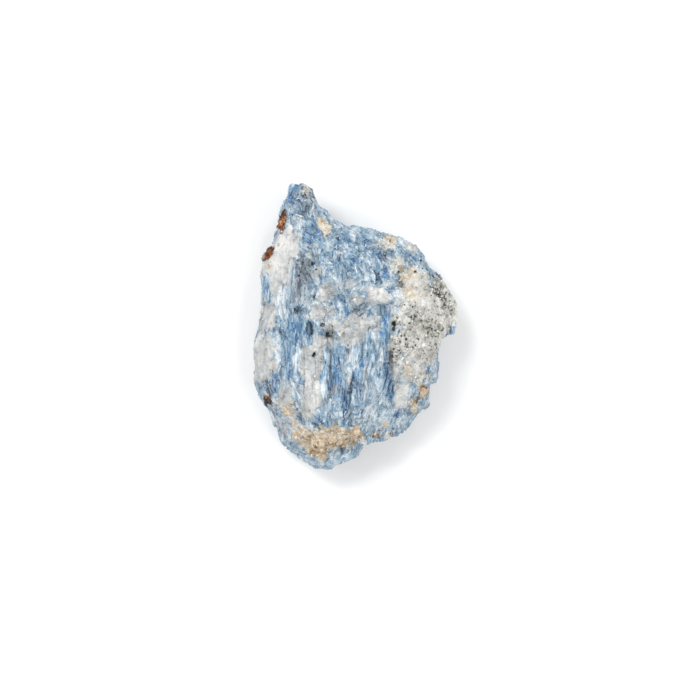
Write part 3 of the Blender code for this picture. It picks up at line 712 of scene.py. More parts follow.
# How strongly a mineral shows at each point: the strongest of its ellipses, less the strongest
# that takes it away. The edges follow the cells, and noise longer than wide makes them ragged.
def mineralAt(kind, points, cells, seed):
    ragged, follows, share, stray, _ = mineralEdges[kind]
    dx, dy, own = cells[follows]
    x, y = points[:, 0] + share * dx, points[:, 1] + share * dy
    stretched = points * (1, 0.45, 1)
    rough = ragged * (noise(stretched / 1.5, seed) + 0.7 * noise(stretched / 0.6, seed + 1))
    most = np.zeros(len(points))
    least = np.zeros(len(points))
    for middleX, middleY, halfX, halfY, degrees, strength in minerals[kind]:
        across, up = turned(x, y, middleX, middleY, degrees)
        away = np.hypot(across / halfX, up / halfY)
        cover = strength * (1 - ramp(away + rough + stray * own, 0.62, 1.34))
        most = np.maximum(most, cover)
        least = np.minimum(least, cover)
    return most * (1 + least)


# The hidden underside has patches of its own, of the same kinds, from broad noise.
def mineralMix(points, local, lean, normals):
    below = ramp(-normals[:, 2], 0.05, 0.45) * ramp(9.0 - points[:, 2], 0.0, 2.0)
    cells = toCells(points, local, lean)
    mix = {}
    for seed, kind in enumerate(minerals):
        above = mineralAt(kind, points, cells, 40 + 2 * seed)
        broad = noise(points / 6.5, 60 + seed) + 0.5 * noise(points / 2.4, 70 + seed)
        broad += 0.3 * cells[mineralEdges[kind][1]][2]
        level = mineralEdges[kind][4]
        mix[kind] = above * (1 - below) + ramp(broad, level, level + 0.25) * below
    return mix


# Shader maths as plain expressions

class Wire:
    def __init__(self, tree, socket):
        self.tree = tree
        self.socket = socket

    def maths(self, operation, *values, clamp=False):
        made = self.tree.nodes.new("ShaderNodeMath")
        made.operation = operation
        made.use_clamp = clamp
        for slot, value in zip(made.inputs, values):
            if isinstance(value, Wire):
                self.tree.links.new(value.socket, slot)
            else:
                slot.default_value = value
        return Wire(self.tree, made.outputs[0])

    def __add__(self, other):
        return self.maths("ADD", self, other)

    def __sub__(self, other):
        return self.maths("SUBTRACT", self, other)

    def __mul__(self, other):
        return self.maths("MULTIPLY", self, other)

    def __rsub__(self, other):
        return self.maths("SUBTRACT", other, self)

    def clamped(self):
        return self.maths("ADD", self, 0.0, clamp=True)

    __radd__ = __add__
    __rmul__ = __mul__


class Finish:
    def __init__(self, name):
        self.material = bpy.data.materials.new(name)
        self.material.use_nodes = True
        self.tree = self.material.node_tree
        self.shader = self.tree.nodes["Principled BSDF"]

    # Any node: its type, its settings first, then the values or wires of its sockets, which are
    # named, or numbered as _0, _1 and so on.
    def node(self, kind, settings=None, output=0, **sockets):
        made = self.tree.nodes.new(kind)
        for name, value in (settings or {}).items():
            if name == "stops":
                self.setStops(made.color_ramp, value)
            else:
                setattr(made, name, value)
        for name, value in sockets.items():
            self.plug(made.inputs[int(name[1:]) if name[0] == "_" else name], value)
        return Wire(self.tree, made.outputs[output])

    def setStops(self, ramp, stops):
        while len(ramp.elements) < len(stops):
            ramp.elements.new(0.5)
        for element, (place, colour) in zip(ramp.elements, stops):
            element.position = place
            element.color = (*colour, 1)

    def plug(self, socket, value):
        if isinstance(value, Wire):
            self.tree.links.new(value.socket, socket)
        else:
            socket.default_value = value

    def set(self, name, value):
        self.plug(self.shader.inputs[name], value)

    def attribute(self, name, output="Fac"):
        return self.node("ShaderNodeAttribute", {"attribute_name": name}, output)

    def vectors(self, operation, first, second, output=0):
        return self.node("ShaderNodeVectorMath", {"operation": operation}, output, _0=first, _1=second)

    def place(self):
        own = self.node("ShaderNodeTexCoord", None, "Object")
        return self.vectors("MULTIPLY", own, (1 / mm,) * 3)

    def grain(self, vector, scale, detail=2.0, rough=0.5, output="Fac"):
        return self.node(
            "ShaderNodeTexNoise", None, output, Vector=self.vectors("MULTIPLY", vector, scale),
            Scale=1.0, Detail=detail, Roughness=rough,
        )

    # Flat faces of random tilt, one for each cell of the given size: a random number for each
    # cell, and the height, which is the way from the cell's middle times a random slope.
    def facets(self, vector, size):
        scaled = self.vectors("DIVIDE", vector, size)
        colour = self.node("ShaderNodeTexVoronoi", None, "Color", Vector=scaled, Scale=1.0)
        middle = Wire(self.tree, colour.socket.node.outputs["Position"])
        slope = self.vectors("SUBTRACT", colour, (0.5, 0.5, 0.5))
        away = self.vectors("SUBTRACT", scaled, middle)
        height = self.vectors("DOT_PRODUCT", away, slope, "Value")
        return self.node("ShaderNodeSeparateColor", None, 2, _0=colour), height

    # How near a point is to the edge of its cell: 1 on the edge, 0 inside.
    def slits(self, vector, size, width):
        scaled = self.vectors("DIVIDE", vector, size)
        edge = self.node(
            "ShaderNodeTexVoronoi", {"feature": "DISTANCE_TO_EDGE"}, 0, Vector=scaled, Scale=1.0
        )
        return 1 - self.between(edge, 0.0, width)

    def between(self, value, low, high):
        return self.node(
            "ShaderNodeMapRange", {"interpolation_type": "SMOOTHSTEP"}, 0, Value=value, _1=low, _2=high
        )

    def mixed(self, share, first, second):
        return self.node("ShaderNodeMix", {"data_type": "RGBA"}, 2, _0=share, _6=first, _7=second)

    def stops(self, value, stops):
        return self.node("ShaderNodeValToRGB", {"stops": stops}, 0, Fac=value.clamped())

    def bump(self, height, distance):
        return self.node("ShaderNodeBump", None, 0, Height=height, Distance=distance * mm, Strength=1.0)


# Colours as light reflected, from 0 to 1, along each mineral's own scale

colours = {
    "steel": [
        (0.00, (0.85, 0.88, 0.90)), (0.20, (0.65, 0.73, 0.78)), (0.40, (0.39, 0.515, 0.61)),
        (0.60, (0.20, 0.345, 0.475)), (0.78, (0.10, 0.215, 0.345)), (0.90, (0.045, 0.115, 0.20)),
        (1.00, (0.012, 0.03, 0.06)),
    ],
    "vivid": [
        (0.00, (0.82, 0.88, 0.92)), (0.20, (0.58, 0.71, 0.81)), (0.40, (0.32, 0.505, 0.66)),
        (0.60, (0.150, 0.335, 0.52)), (0.78, (0.060, 0.19, 0.42)), (0.90, (0.025, 0.10, 0.30)),
        (1.00, (0.010, 0.03, 0.09)),
    ],
    # grey-blue for the slate patches, which are partly painted shade
    "slate": [
        (0.00, (0.72, 0.75, 0.77)), (0.25, (0.47, 0.53, 0.58)), (0.50, (0.235, 0.30, 0.37)),
        (0.75, (0.095, 0.135, 0.185)), (1.00, (0.018, 0.022, 0.03)),
    ],
    "quartz": [
        (0.00, (0.20, 0.22, 0.24)), (0.30, (0.46, 0.48, 0.49)), (0.55, (0.66, 0.67, 0.66)),
        (0.80, (0.82, 0.82, 0.80)), (1.00, (0.93, 0.93, 0.91)),
    ],
    "schist": [
        (0.00, (0.018, 0.018, 0.018)), (0.13, (0.06, 0.058, 0.05)), (0.20, (0.34, 0.33, 0.29)),
        (0.45, (0.57, 0.57, 0.54)), (0.70, (0.75, 0.74, 0.69)), (1.00, (0.89, 0.89, 0.87)),
    ],
    "clay": [
        (0.00, (0.14, 0.10, 0.06)), (0.30, (0.44, 0.33, 0.21)), (0.55, (0.68, 0.55, 0.40)),
        (0.78, (0.79, 0.72, 0.59)), (1.00, (0.87, 0.85, 0.79)),
    ],
    "rust": [
        (0.00, (0.030, 0.012, 0.008)), (0.35, (0.11, 0.030, 0.012)), (0.62, (0.32, 0.105, 0.030)),
        (0.82, (0.55, 0.26, 0.09)), (1.00, (0.72, 0.50, 0.30)),
    ],
    "ochre": (0.63, 0.44, 0.26, 1),
    "cream": (0.78, 0.69, 0.53, 1),
    # slit and pit: painted shade in the gaps between blades and in pits
    "shadedSlit": (0.025, 0.05, 0.10, 1),
    "splinter": (0.87, 0.90, 0.92, 1),
    "pitShade": (0.025, 0.032, 0.045, 1),
    "mica": (0.022, 0.022, 0.022, 1),
}


# What the finish reads of the stone: its own coordinates, the bundles' coordinates, how strongly
# each mineral and each patch that holds painted shade shows, how hollow the place is, which is
# painted as shade, and the tones of the faces that it is on.
def readStone(look):
    wires = {"place": look.place(), "fibre": look.attribute("fibre", "Vector")}
    for name in (*minerals, "hollow", "bladeTone", "splinterTone", "quartzTone", "blockTone", "gritTone"):
        wires[name] = look.attribute(name)
    return wires


# Blue by depth: every blade and splinter has a depth of its own, broad soft bands and fine hairs
# run along them, and a white veil lies over parts. Hollows and the dark and slate patches are
# painted darker as shade, and ridges lighter. White splinters, thin white rims and slits darkened
# with painted shade come on top. It also gives the height that the bump reads.
def kyaniteColour(look, stone):
    fibre, dark, hollow = stone["fibre"], stone["dark"], stone["hollow"]
    band = look.grain(fibre, (0.62, 0.085, 0.62), detail=2.0)
    veil = look.grain(fibre, (1.05, 0.42, 1.05), detail=4.0, rough=0.62)
    hair = look.grain(fibre, (5.0, 0.40, 5.0), detail=3.0, rough=0.6)
    cloud = look.grain(stone["place"], (0.42, 0.28, 0.42), detail=3.0, rough=0.6)
    depth = 0.41 + (stone["bladeTone"] - 0.5) * 0.28 + (stone["splinterTone"] - 0.5) * 0.20
    depth = depth + (band - 0.5) * 0.60 + (veil - 0.5) * 0.80 + (hair - 0.5) * 0.45 + (cloud - 0.5) * 1.1
    # painted shade: the dark patches and hollows deepen the blue, and ridges lighten it
    depth = depth + stone["blue"].clamped() * 0.26 - stone["pale"] * 0.24 + dark * 0.30 + hollow * 0.12
    vivid = look.between(stone["blue"] * 0.5 + cloud + (stone["bladeTone"] - 0.5) * 0.25, 0.58, 1.10)
    colour = look.mixed(vivid, look.stops(depth, colours["steel"]), look.stops(depth, colours["vivid"]))
    grey = 0.50 + (depth - 0.45) * 0.9 + (stone["splinterTone"] - 0.5) * 0.3
    # slate-grey where the slate patches are: partly the stone's grey, partly painted shade
    slaty = look.between(stone["slate"] + (veil - 0.5) * 0.5, 0.30, 0.85)
    colour = look.mixed(slaty, colour, look.stops(grey, colours["slate"]))
    # white splinters, fewer in hollows and more on ridges as painted light, and fewer in the dark patches
    white = look.between(stone["splinterTone"] - hollow * 0.08 + stone["pale"] * 0.06, 0.87, 0.93)
    white = white * (1 - dark).clamped() * look.between(hair, 0.38, 0.55)
    colour = look.mixed(white.clamped() * 0.8, colour, colours["splinter"])
    # thin white rims of the small crystals
    shaken = look.grain(stone["place"], (0.9, 0.9, 0.9), detail=3.0, output="Color")
    shaken = look.vectors("ADD", fibre, look.vectors("MULTIPLY", shaken, (1.4, 3.0, 1.4)))
    rim = look.slits(shaken, (0.80, 2.4, 0.80), 0.075) * look.between(veil + cloud, 0.86, 1.12)
    colour = look.mixed(rim * 0.62, colour, colours["splinter"])
    # dark slits between the blades: painted shade in the gaps
    shadedSlit = look.slits(fibre, (1.35, 8.0, 1.35), 0.06) * look.between(cloud + stone["blue"] * 0.2, 0.42, 0.62)
    colour = look.mixed(shadedSlit * 0.5, colour, colours["shadedSlit"])
    _, facet = look.facets(fibre, (0.55, 1.3, 0.55))
    return colour, facet * 0.45 + (hair - 0.5) * 0.25 + (veil - 0.5) * 0.35 + rim * 0.06 - shadedSlit * 0.12


# Quartz: clear grey to milky white in soft clouds, each face of its own tone, darker with painted shade in
# hollows and in the dark patches, and lighter on ridges
def quartzColour(look, stone):
    cloud = look.grain(stone["place"], (0.45, 0.38, 0.45), detail=4.0, rough=0.52)
    streak = look.grain(stone["fibre"], (1.8, 0.50, 1.8), detail=3.0, rough=0.6)
    tone = 0.47 + (cloud - 0.5) * 0.95 + (stone["quartzTone"] - 0.5) * 0.20 + (streak - 0.5) * 0.25
    tone = tone + (stone["blockTone"] - 0.5) * 0.10 + (stone["gritTone"] - 0.5) * 0.08
    tone = tone + stone["pale"] * 0.25 - stone["dark"] * 0.40 - stone["hollow"] * 0.09
    _, facet = look.facets(stone["place"], (0.9, 1.0, 0.9))
    return look.stops(tone, colours["quartz"]), facet * 0.5 + (cloud - 0.5) * 0.25 + (streak - 0.5) * 0.1


# Grains of schist, clay and rust: a tone for each block and each bit of grit, in clouds, darker with painted
# shade in hollows and in the dark and slate patches, and lighter on ridges
def rockColour(look, stone, kind, middle, cloudy, gritty):
    cloud = look.grain(stone["place"], (0.9, 0.8, 0.9), detail=4.0, rough=0.6)
    tone = middle + (cloud - 0.5) * cloudy + (stone["blockTone"] - 0.5) * 0.24
    tone = tone + (stone["gritTone"] - 0.5) * gritty - stone["dark"] * 0.42 - stone["slate"] * 0.22
    return look.stops(tone + stone["pale"] * 0.10 - stone["hollow"] * 0.10, colours[kind])


def stoneFinish():
    look = Finish("kyanite_stone")
    stone = readStone(look)
    colour, rise = kyaniteColour(look, stone)
    glass, glassRise = quartzColour(look, stone)
    rocks = {
        "quartz": glass,
        "schist": rockColour(look, stone, "schist", 0.61, 1.3, 0.36),
        "clay": rockColour(look, stone, "clay", 0.69, 1.4, 0.36),
        "rust": rockColour(look, stone, "rust", 0.50, 2.2, 0.70),
    }
    # warm stains on clay and schist
    stain = look.grain(stone["place"], (0.75, 0.70, 0.75), detail=4.0, rough=0.65)
    rocks["clay"] = look.mixed(look.between(stain, 0.52, 0.68) * 0.50, rocks["clay"], colours["ochre"])
    cream = look.between(stain + stone["clay"] * 0.5, 0.56, 0.76) * 0.5
    rocks["schist"] = look.mixed(cream, rocks["schist"], colours["cream"])
    # the minerals' edges are made ragged again, finer than the mesh, along the blades
    ragged = (look.grain(stone["fibre"], (2.2, 0.8, 2.2), detail=5.0, rough=0.75) - 0.5) * 1.7
    shows = {}
    for kind in rocks:
        near = look.between(stone[kind], 0.02, 0.35)
        shows[kind] = look.between(stone[kind] + ragged * near, 0.40, 0.64)
    for kind, over in rocks.items():
        colour = look.mixed(shows[kind], colour, over)
    # black mica in ragged specks that cluster
    shaken = look.grain(stone["place"], (1.6, 1.6, 1.6), detail=2.0, output="Color")
    shaken = look.vectors("ADD", stone["place"], look.vectors("MULTIPLY", shaken, (1.2, 1.2, 1.2)))
    speck, _ = look.facets(shaken, (0.34, 0.38, 0.34))
    cluster = look.grain(stone["place"], (0.55, 0.55, 0.55), detail=3.0, rough=0.6)
    mica = look.between(speck * 0.5 + (cluster - 0.5) * 1.5 + stone["specks"] * 0.48, 0.87, 0.95)
    colour = look.mixed(mica * 0.88, colour, colours["mica"])
    # near black in the strongest dark patches and deepest hollows: painted shade in pits, and the stone's own
    # black spots
    paintedPitShade = look.between(stone["dark"] + ragged * 0.75 + stone["hollow"] * 0.15, 0.84, 1.20)
    colour = look.mixed(paintedPitShade * 0.80, colour, colours["pitShade"])

    stony = sum((shows[kind] for kind in ("schist", "clay", "rust")), shows["quartz"]).clamped()
    grain = look.grain(stone["place"], (2.4, 2.4, 2.4), detail=4.0, rough=0.65)
    height = rise * (1 - stony) + glassRise * shows["quartz"] + (grain - 0.5) * stony * 0.5
    rough = 0.40 - (stone["splinterTone"] - 0.5) * 0.4 + stony * 0.10 - (stone["quartzTone"] - 0.5) * 0.2
    rough = rough + shows["clay"] * 0.3 - mica * 0.2
    look.set("Base Color", colour)
    look.set("Roughness", rough.maths("MAXIMUM", rough, 0.17).clamped())
    look.set("Normal", look.bump(height, 0.55))
    look.set("Specular IOR Level", 0.6)
    look.set("Subsurface Weight", 0.14)
    look.set("Subsurface Radius", (1.0, 1.0, 1.0))
    look.set("Subsurface Scale", 0.35 * mm)
    return look.material


# The index of the grid's point that is nearest to each of some places
def nearestOnGrid(grid, places):
    tree = KDTree(len(grid))
    for index, place in enumerate(grid):
        tree.insert(place, index)
    tree.balance()
    return np.array([tree.find(place)[1] for place in places])


# Makes the stone's surface and gives it its fibre directions, mineral patches and face tones.
def makeStone():
    low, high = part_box(node)
    plain = plainSurface(stoneForm["rows"], stoneForm["columns"])
    flat = plain.reshape(-1, 3)
    middle, lean, own = bundles(flat)
    local = inBundle(flat, middle, lean, own)
    mix = mineralMix(flat, local, lean, -inward(plain).reshape(-1, 3))
    points, tones = roughened(plain, mix, local)
    points = toBox(points, low, high)
    stone = gridMesh("stoneSurface", points)
    fewerFaces(stone, stoneForm["triangles"])
    mesh = stone.data
    mesh.set_sharp_from_angle(angle=np.radians(stoneForm["sharpEdge"]))
    surface = readSurface(mesh)
    grid = points.reshape(-1, 3) / mm
    nearest = nearestOnGrid(grid, np.vstack([surface["places"], surface["centres"]]))
    atVertex, atFace = nearest[:len(surface["places"])], nearest[len(surface["places"]):]
    surface["mix"] = {kind: values[atVertex] for kind, values in mix.items()}
    for kind, values in surface["mix"].items():
        addAttribute(mesh, kind, "FLOAT", "POINT", values)
    addAttribute(mesh, "hollow", "FLOAT", "POINT", surface["hollow"])
    for kind, values in tones.items():
        addAttribute(mesh, kind + "Tone", "FLOAT", "FACE", values[atFace])
    corners = surface["places"][surface["corners"]]
    fibre = inBundle(corners, middle[atFace][:, None], lean[atFace][:, None], own[atFace][:, None])
    addAttribute(mesh, "fibre", "FLOAT_VECTOR", "CORNER", fibre)
    mesh.materials.clear()
    mesh.materials.append(stoneFinish())
    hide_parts(node)
    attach(stone, body)
    surface["lean"] = lean[atFace]
    print("stone surface:", len(mesh.polygons), "triangles")
    return stone, surface


# Small pieces that lie sunk in the stone's surface

# Unit pieces: a profile carried along Y, at stations from -1 to 1, with a radius at each, and
# closed by a point at both ends. Each piece's points are moved about by a random share.
def unitPieces(count, profile, stations, radii, tips, ragged, rng):
    profile = np.array(profile)
    sides = len(profile)
    rings = np.empty((len(stations), sides, 3))
    rings[..., 0] = np.outer(radii, profile[:, 0])
    rings[..., 1] = np.array(stations)[:, None]
    rings[..., 2] = np.outer(radii, profile[:, 1])
    shape = np.vstack([rings.reshape(-1, 3), (0, tips[0], 0), (0, tips[1], 0)])
    pieces = np.repeat(shape[None], count, axis=0)
    pieces += rng.uniform(-ragged, ragged, pieces.shape) * (1, 0.6, 1)
    ring = np.arange(len(stations) * sides).reshape(-1, sides)
    after = np.roll(ring, -1, axis=1)
    quads = np.stack([ring[:-1], ring[1:], after[1:], after[:-1]], axis=-1).reshape(-1, 4)
    first, last = ring.size, ring.size + 1
    faces = quads.tolist()
    faces += np.column_stack([np.full(sides, first), ring[0], after[0]]).tolist()
    faces += np.column_stack([np.full(sides, last), after[-1], ring[-1]]).tolist()
    return pieces, faces


def roundProfile(sides):
    angle = np.arange(sides) / sides * 2 * np.pi
    return np.column_stack([np.cos(angle), np.sin(angle)])


# Random spots on the stone, as many for each square millimetre as the weight says: the place,
# the broad normal, the lean of the blades, and every mineral's strength there.
def spotsOn(surface, count, weight, rng):
    chance = surface["areas"] * weight(surface)
    picks = rng.choice(len(chance), count, p=chance / chance.sum())
    corners = surface["corners"][picks]
    share = rng.dirichlet((1, 1, 1), count)[..., None]
    spots = {
        "places": (surface["places"][corners] * share).sum(axis=1),
        "normals": unit((surface["normals"][corners] * share).sum(axis=1)),
        "lean": surface["lean"][picks],
        "hollow": surface["hollow"][corners].mean(axis=1),
    }
    for kind, values in surface["mix"].items():
        spots[kind] = values[corners].mean(axis=1)
    return spots


def faceMix(surface, kind):
    return surface["mix"][kind][surface["corners"]].mean(axis=1)


# Three axes for each piece: Y along the blades where they lie on the surface, Z out of it, and
# X across. Then each is turned about Z and tipped about Y and X, by random degrees.
def axesAt(spots, turn, tip, rng):
    lean = np.radians(spots["lean"] + turn)
    along = np.column_stack([-np.sin(lean), np.cos(lean), 0 * lean])
    out = spots["normals"]
    along = unit(along - out * (along * out).sum(axis=1, keepdims=True) + 1e-6)
    across = np.cross(along, out)
    first = np.radians(rng.normal(0, tip, len(lean)))[:, None]
    second = np.radians(rng.normal(0, tip * 0.5, len(lean)))[:, None]
    across, out = across * np.cos(first) + out * np.sin(first), out * np.cos(first) - across * np.sin(first)
    along, out = along * np.cos(second) + out * np.sin(second), out * np.cos(second) - along * np.sin(second)
    return np.stack([across, along, out], axis=1)


# Joins many small pieces into one mesh. A point is its spot, plus its unit place times its
# piece's half sizes along the piece's own axes. What would leave the stone's box is left out.
def joinPieces(name, pieces, faces, spots, axes, halves, lift, numbers, material):
    local = pieces * halves[:, None]
    points = spots["places"][:, None] + np.einsum("nvk,nkc->nvc", local, axes)
    points += (spots["normals"] * lift[:, None])[:, None]
    low, high = (np.array(corner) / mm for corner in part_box(node))
    inside = ((points >= low) & (points <= high)).all(axis=(1, 2))
    points, local = points[inside], local[inside]
    count, size = points.shape[:2]
    corners = np.concatenate([np.array(face) for face in faces])
    loops = (corners[None] + np.arange(count)[:, None] * size).ravel()
    totals = np.tile([len(face) for face in faces], count)
    mesh = bpy.data.meshes.new(name)
    mesh.vertices.add(count * size)
    mesh.vertices.foreach_set("co", (points * mm).astype(np.float32).ravel())
    mesh.loops.add(len(loops))
    mesh.loops.foreach_set("vertex_index", loops.astype(np.int32))
    mesh.polygons.add(len(totals))
    mesh.polygons.foreach_set("loop_start", np.concatenate([[0], np.cumsum(totals)[:-1]]).astype(np.int32))
    mesh.polygons.foreach_set("use_smooth", np.zeros(len(totals), bool))
    mesh.update(calc_edges=True)
    mesh.validate()
    for key, values in numbers.items():
        each = values[inside]
        each = np.repeat(each, size) if each.ndim == 1 else each.reshape(-1)
        addAttribute(mesh, key, "FLOAT", "POINT", each)
    own = np.arange(count)[:, None] * (3.7, 11.3, 5.1)
    addAttribute(mesh, "fibre", "FLOAT_VECTOR", "POINT", local + own[:, None])
    mesh.materials.append(material)
    piece = bpy.data.objects.new(name, mesh)
    bpy.context.scene.collection.objects.link(piece)
    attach(piece, body)
    print(name + ":", count, "pieces,", int((totals - 2).sum()), "triangles")


# The stone's surface as a tree that finds the nearest place on it
def surfaceTree(surface):
    return BVHTree.FromPolygons(surface["places"].tolist(), surface["corners"].tolist())


# Lays long pieces down: both ends of each go to the nearest place on the stone, and the piece
# runs from one to the other. It gives their new axes and half lengths.
def laidDown(spots, axes, halfLengths, tree):
    ends = []
    for sign in (-1, 1):
        wanted = spots["places"] + axes[:, 1] * (sign * halfLengths)[:, None]
        ends.append(np.array([tree.find_nearest(Vector(point))[0] for point in wanted]))
    spots["places"] = (ends[0] + ends[1]) / 2
    along = unit(ends[1] - ends[0])
    out = unit(axes[:, 2] - along * (axes[:, 2] * along).sum(axis=1, keepdims=True))
    reach = np.linalg.norm(ends[1] - ends[0], axis=1) / 2
    return np.stack([np.cross(along, out), along, out], axis=1), reach


bladeSizes = {
    "count": 150,
    "lengths": (1.8, 6.0),
    "widths": (0.30, 0.95),
    "thickness": (0.20, 0.5),
    "profile": [(-1.0, -0.9), (-0.96, 0.35), (-0.62, 1.0), (0.62, 0.94), (0.97, 0.3), (1.0, -0.9)],
    "stations": (-0.95, 0.93),
    "seed": 101,
}


# Blades that lie sunk in the stone along its bundles, with the stone's own finish
def makeBlades(surface, tree, material):
    rng = np.random.default_rng(bladeSizes["seed"])
    felt = feltAt(surface["centres"])

    def weight(stone):
        stony = sum(faceMix(stone, kind) for kind in ("quartz", "schist", "clay", "rust"))
        straight = np.abs(stone["lean"]) < 25
        above = stone["centres"][:, 2] > 9
        return (1 - 0.97 * ramp(stony, 0.1, 0.4)) * (1 - 0.95 * felt) * straight * above

    count = bladeSizes["count"]
    spots = spotsOn(surface, count, weight, rng)
    pieces, faces = unitPieces(
        count, bladeSizes["profile"], bladeSizes["stations"], (1.0, 0.9), (-1, 1.02), 0.05, rng
    )
    size = rng.beta(1.4, 3.0, count)
    halves = np.column_stack([
        np.interp(size * 0.6 + rng.random(count) * 0.4, (0, 1), bladeSizes["widths"]) / 2,
        np.interp(size, (0, 1), bladeSizes["lengths"]) / 2,
        rng.uniform(*bladeSizes["thickness"], count) / 2,
    ])
    axes = axesAt(spots, rng.normal(0, 3, count), 12, rng)
    axes, halves[:, 1] = laidDown(spots, axes, halves[:, 1], tree)
    # the blades take the stone's blue, pale, slate and dark patches, and with them the painted shade that the
    # last two hold
    numbers = {kind: spots[kind] for kind in ("blue", "pale", "dark", "slate")}
    # how hollow each point is, painted as shade: a hollow along the foot, ridges along the upper edges that
    # are painted lighter, 0 at the tips
    numbers["hollow"] = np.tile([0.4, -0.6, -0.3, -0.3, -0.6, 0.4] * 2 + [0, 0], (count, 1))
    numbers["bladeTone"] = rng.uniform(0.35, 0.9, count)
    numbers["splinterTone"] = rng.uniform(0.2, 0.8, count)
    joinPieces(
        "kyaniteBlades", pieces, faces, spots, axes, halves, halves[:, 2] * rng.uniform(-1.0, 0.1, count),
        numbers, material,
    )


needleSizes = {
    "count": 1500,
    "lengths": (0.5, 1.9),
    "widths": (0.10, 0.26),
    "seed": 102,
}


# A needle's finish: its own depth of blue, with white ends and hairs along it
def needleFinish():
    look = Finish("kyanite_needles")
    fibre = look.attribute("fibre", "Vector")
    hair = look.grain(fibre, (7.0, 0.5, 7.0), detail=3.0, rough=0.65)
    depth = look.attribute("depth") + (hair - 0.5) * 0.6
    white = look.between(look.attribute("edge") + (hair - 0.5) * 0.9, 0.70, 1.0)
    white = white * (1 - look.attribute("depth")).clamped() * 0.8
    colour = look.mixed(white, look.stops(depth, colours["steel"]), colours["splinter"])
    look.set("Base Color", colour)
    look.set("Roughness", (0.22 + hair * 0.35).clamped())
    look.set("Normal", look.bump(hair, 0.05))
    look.set("Specular IOR Level", 0.7)
    return look.material


# How deep the blue is for a needle at each spot: a random part, and the stone's minerals there, with the
# painted shade of its dark and slate patches.
def needleDepth(spots, rng):
    depth = rng.normal(0.36, 0.20, len(spots["hollow"])) + 0.22 * spots["blue"] - 0.20 * spots["pale"]
    return np.clip(depth + 0.28 * spots["dark"] + 0.12 * spots["slate"], 0.02, 0.95)


# Short needles, felted where the stone is, and thinly spread over its other blue parts
def makeNeedles(surface):
    rng = np.random.default_rng(needleSizes["seed"])
    felt = feltAt(surface["centres"])

    def weight(stone):
        stony = sum(faceMix(stone, kind) for kind in ("schist", "clay", "rust"))
        stony += 0.8 * faceMix(stone, "quartz")
        return (1 - 0.94 * ramp(stony, 0.2, 0.6)) * (0.25 + felt) * (stone["centres"][:, 2] > 1.5)

    count = needleSizes["count"]
    spots = spotsOn(surface, count, weight, rng)
    pieces, faces = unitPieces(
        count, roundProfile(4), (-0.8, 0.75), (1.0, 0.8), (-1, 1), 0.12, rng
    )
    width = rng.uniform(*needleSizes["widths"], count) / 2
    halves = np.column_stack([width, rng.uniform(*needleSizes["lengths"], count) / 2, width * 0.6])
    felted = feltAt(spots["places"])
    axes = axesAt(spots, rng.normal(0, 1, count) * (8 + 30 * felted), 12, rng)
    # how white each point of a needle is: four on each of two rings, and most at the two tips
    edge = np.tile([0.4, 0.1, 0.4, 0.4, 0.4, 0.1, 0.4, 0.4, 1.0, 1.0], (count, 1))
    numbers = {"depth": needleDepth(spots, rng), "edge": edge}
    joinPieces(
        "kyaniteNeedles", pieces, faces, spots, axes, halves, halves[:, 2] * rng.uniform(-0.9, 0.4, count),
        numbers, needleFinish(),
    )


# Grains of each mineral: how many, least and most size, how flat they are, and the random seed
grainSizes = {
    "quartz": {"count": 110, "sizes": (0.4, 1.3), "flat": (0.4, 0.8), "seed": 103},
    "schist": {"count": 420, "sizes": (0.25, 0.9), "flat": (0.4, 0.8), "seed": 104},
    "clay": {"count": 260, "sizes": (0.25, 1.0), "flat": (0.4, 0.8), "seed": 105},
    "rust": {"count": 80, "sizes": (0.20, 0.6), "flat": (0.5, 1.0), "seed": 106},
}


# A grain's finish: its own depth of colour plus soft clouds and fine grain, and quartz lets some
# light through
def grainFinish(kind):
    look = Finish(kind + "_grains")
    fibre = look.attribute("fibre", "Vector")
    depth = look.attribute("depth")
    cloud = look.grain(fibre, (1.6, 1.6, 1.6), detail=3.0, rough=0.6)
    fine = look.grain(fibre, (7.0, 7.0, 7.0), detail=2.0)
    colour = look.stops(depth + (cloud - 0.5) * 0.35 + (fine - 0.5) * 0.2, colours[kind])
    look.set("Base Color", colour)
    look.set("Normal", look.bump(cloud * 0.6 + fine * 0.4, 0.10))
    if kind == "quartz":
        look.set("Roughness", (0.10 + fine * 0.25).clamped())
        look.set("Transmission Weight", 0.3)
        look.set("IOR", 1.54)
    else:
        look.set("Roughness", (0.35 + fine * 0.4).clamped())
    return look.material


# Grains of one kind, sunk in the stone where that mineral is strong and not pale: round pieces,
# flattened, and turned any way
def makeGrains(surface, kind, depthOf):
    size = grainSizes[kind]
    rng = np.random.default_rng(size["seed"])

    def weight(stone):
        strong = ramp(faceMix(stone, kind), 0.45, 0.75) * (1 - 0.8 * ramp(faceMix(stone, "pale"), 0.2, 0.6))
        return strong * (stone["centres"][:, 2] > 1.2)

    count = size["count"]
    spots = spotsOn(surface, count, weight, rng)
    pieces, faces = unitPieces(
        count, roundProfile(6), (-0.62, 0.05, 0.66), (0.72, 1.0, 0.68), (-0.95, 0.95), 0.20, rng
    )
    radius = np.interp(rng.beta(1.3, 3.5, count), (0, 1), size["sizes"]) / 2
    flat = rng.uniform(*size["flat"], count)
    halves = np.column_stack([radius, radius * rng.uniform(0.8, 1.3, count), radius * flat])
    axes = axesAt(spots, rng.uniform(-90, 90, count), 30, rng)
    joinPieces(
        kind + "Grains", pieces, faces, spots, axes, halves, halves[:, 2] * rng.uniform(-0.8, 0.1, count),
        {"depth": depthOf(spots, rng)}, grainFinish(kind),
    )


micaSizes = {"count": 380, "sizes": (0.22, 0.75), "thickness": (0.05, 0.14), "seed": 107}
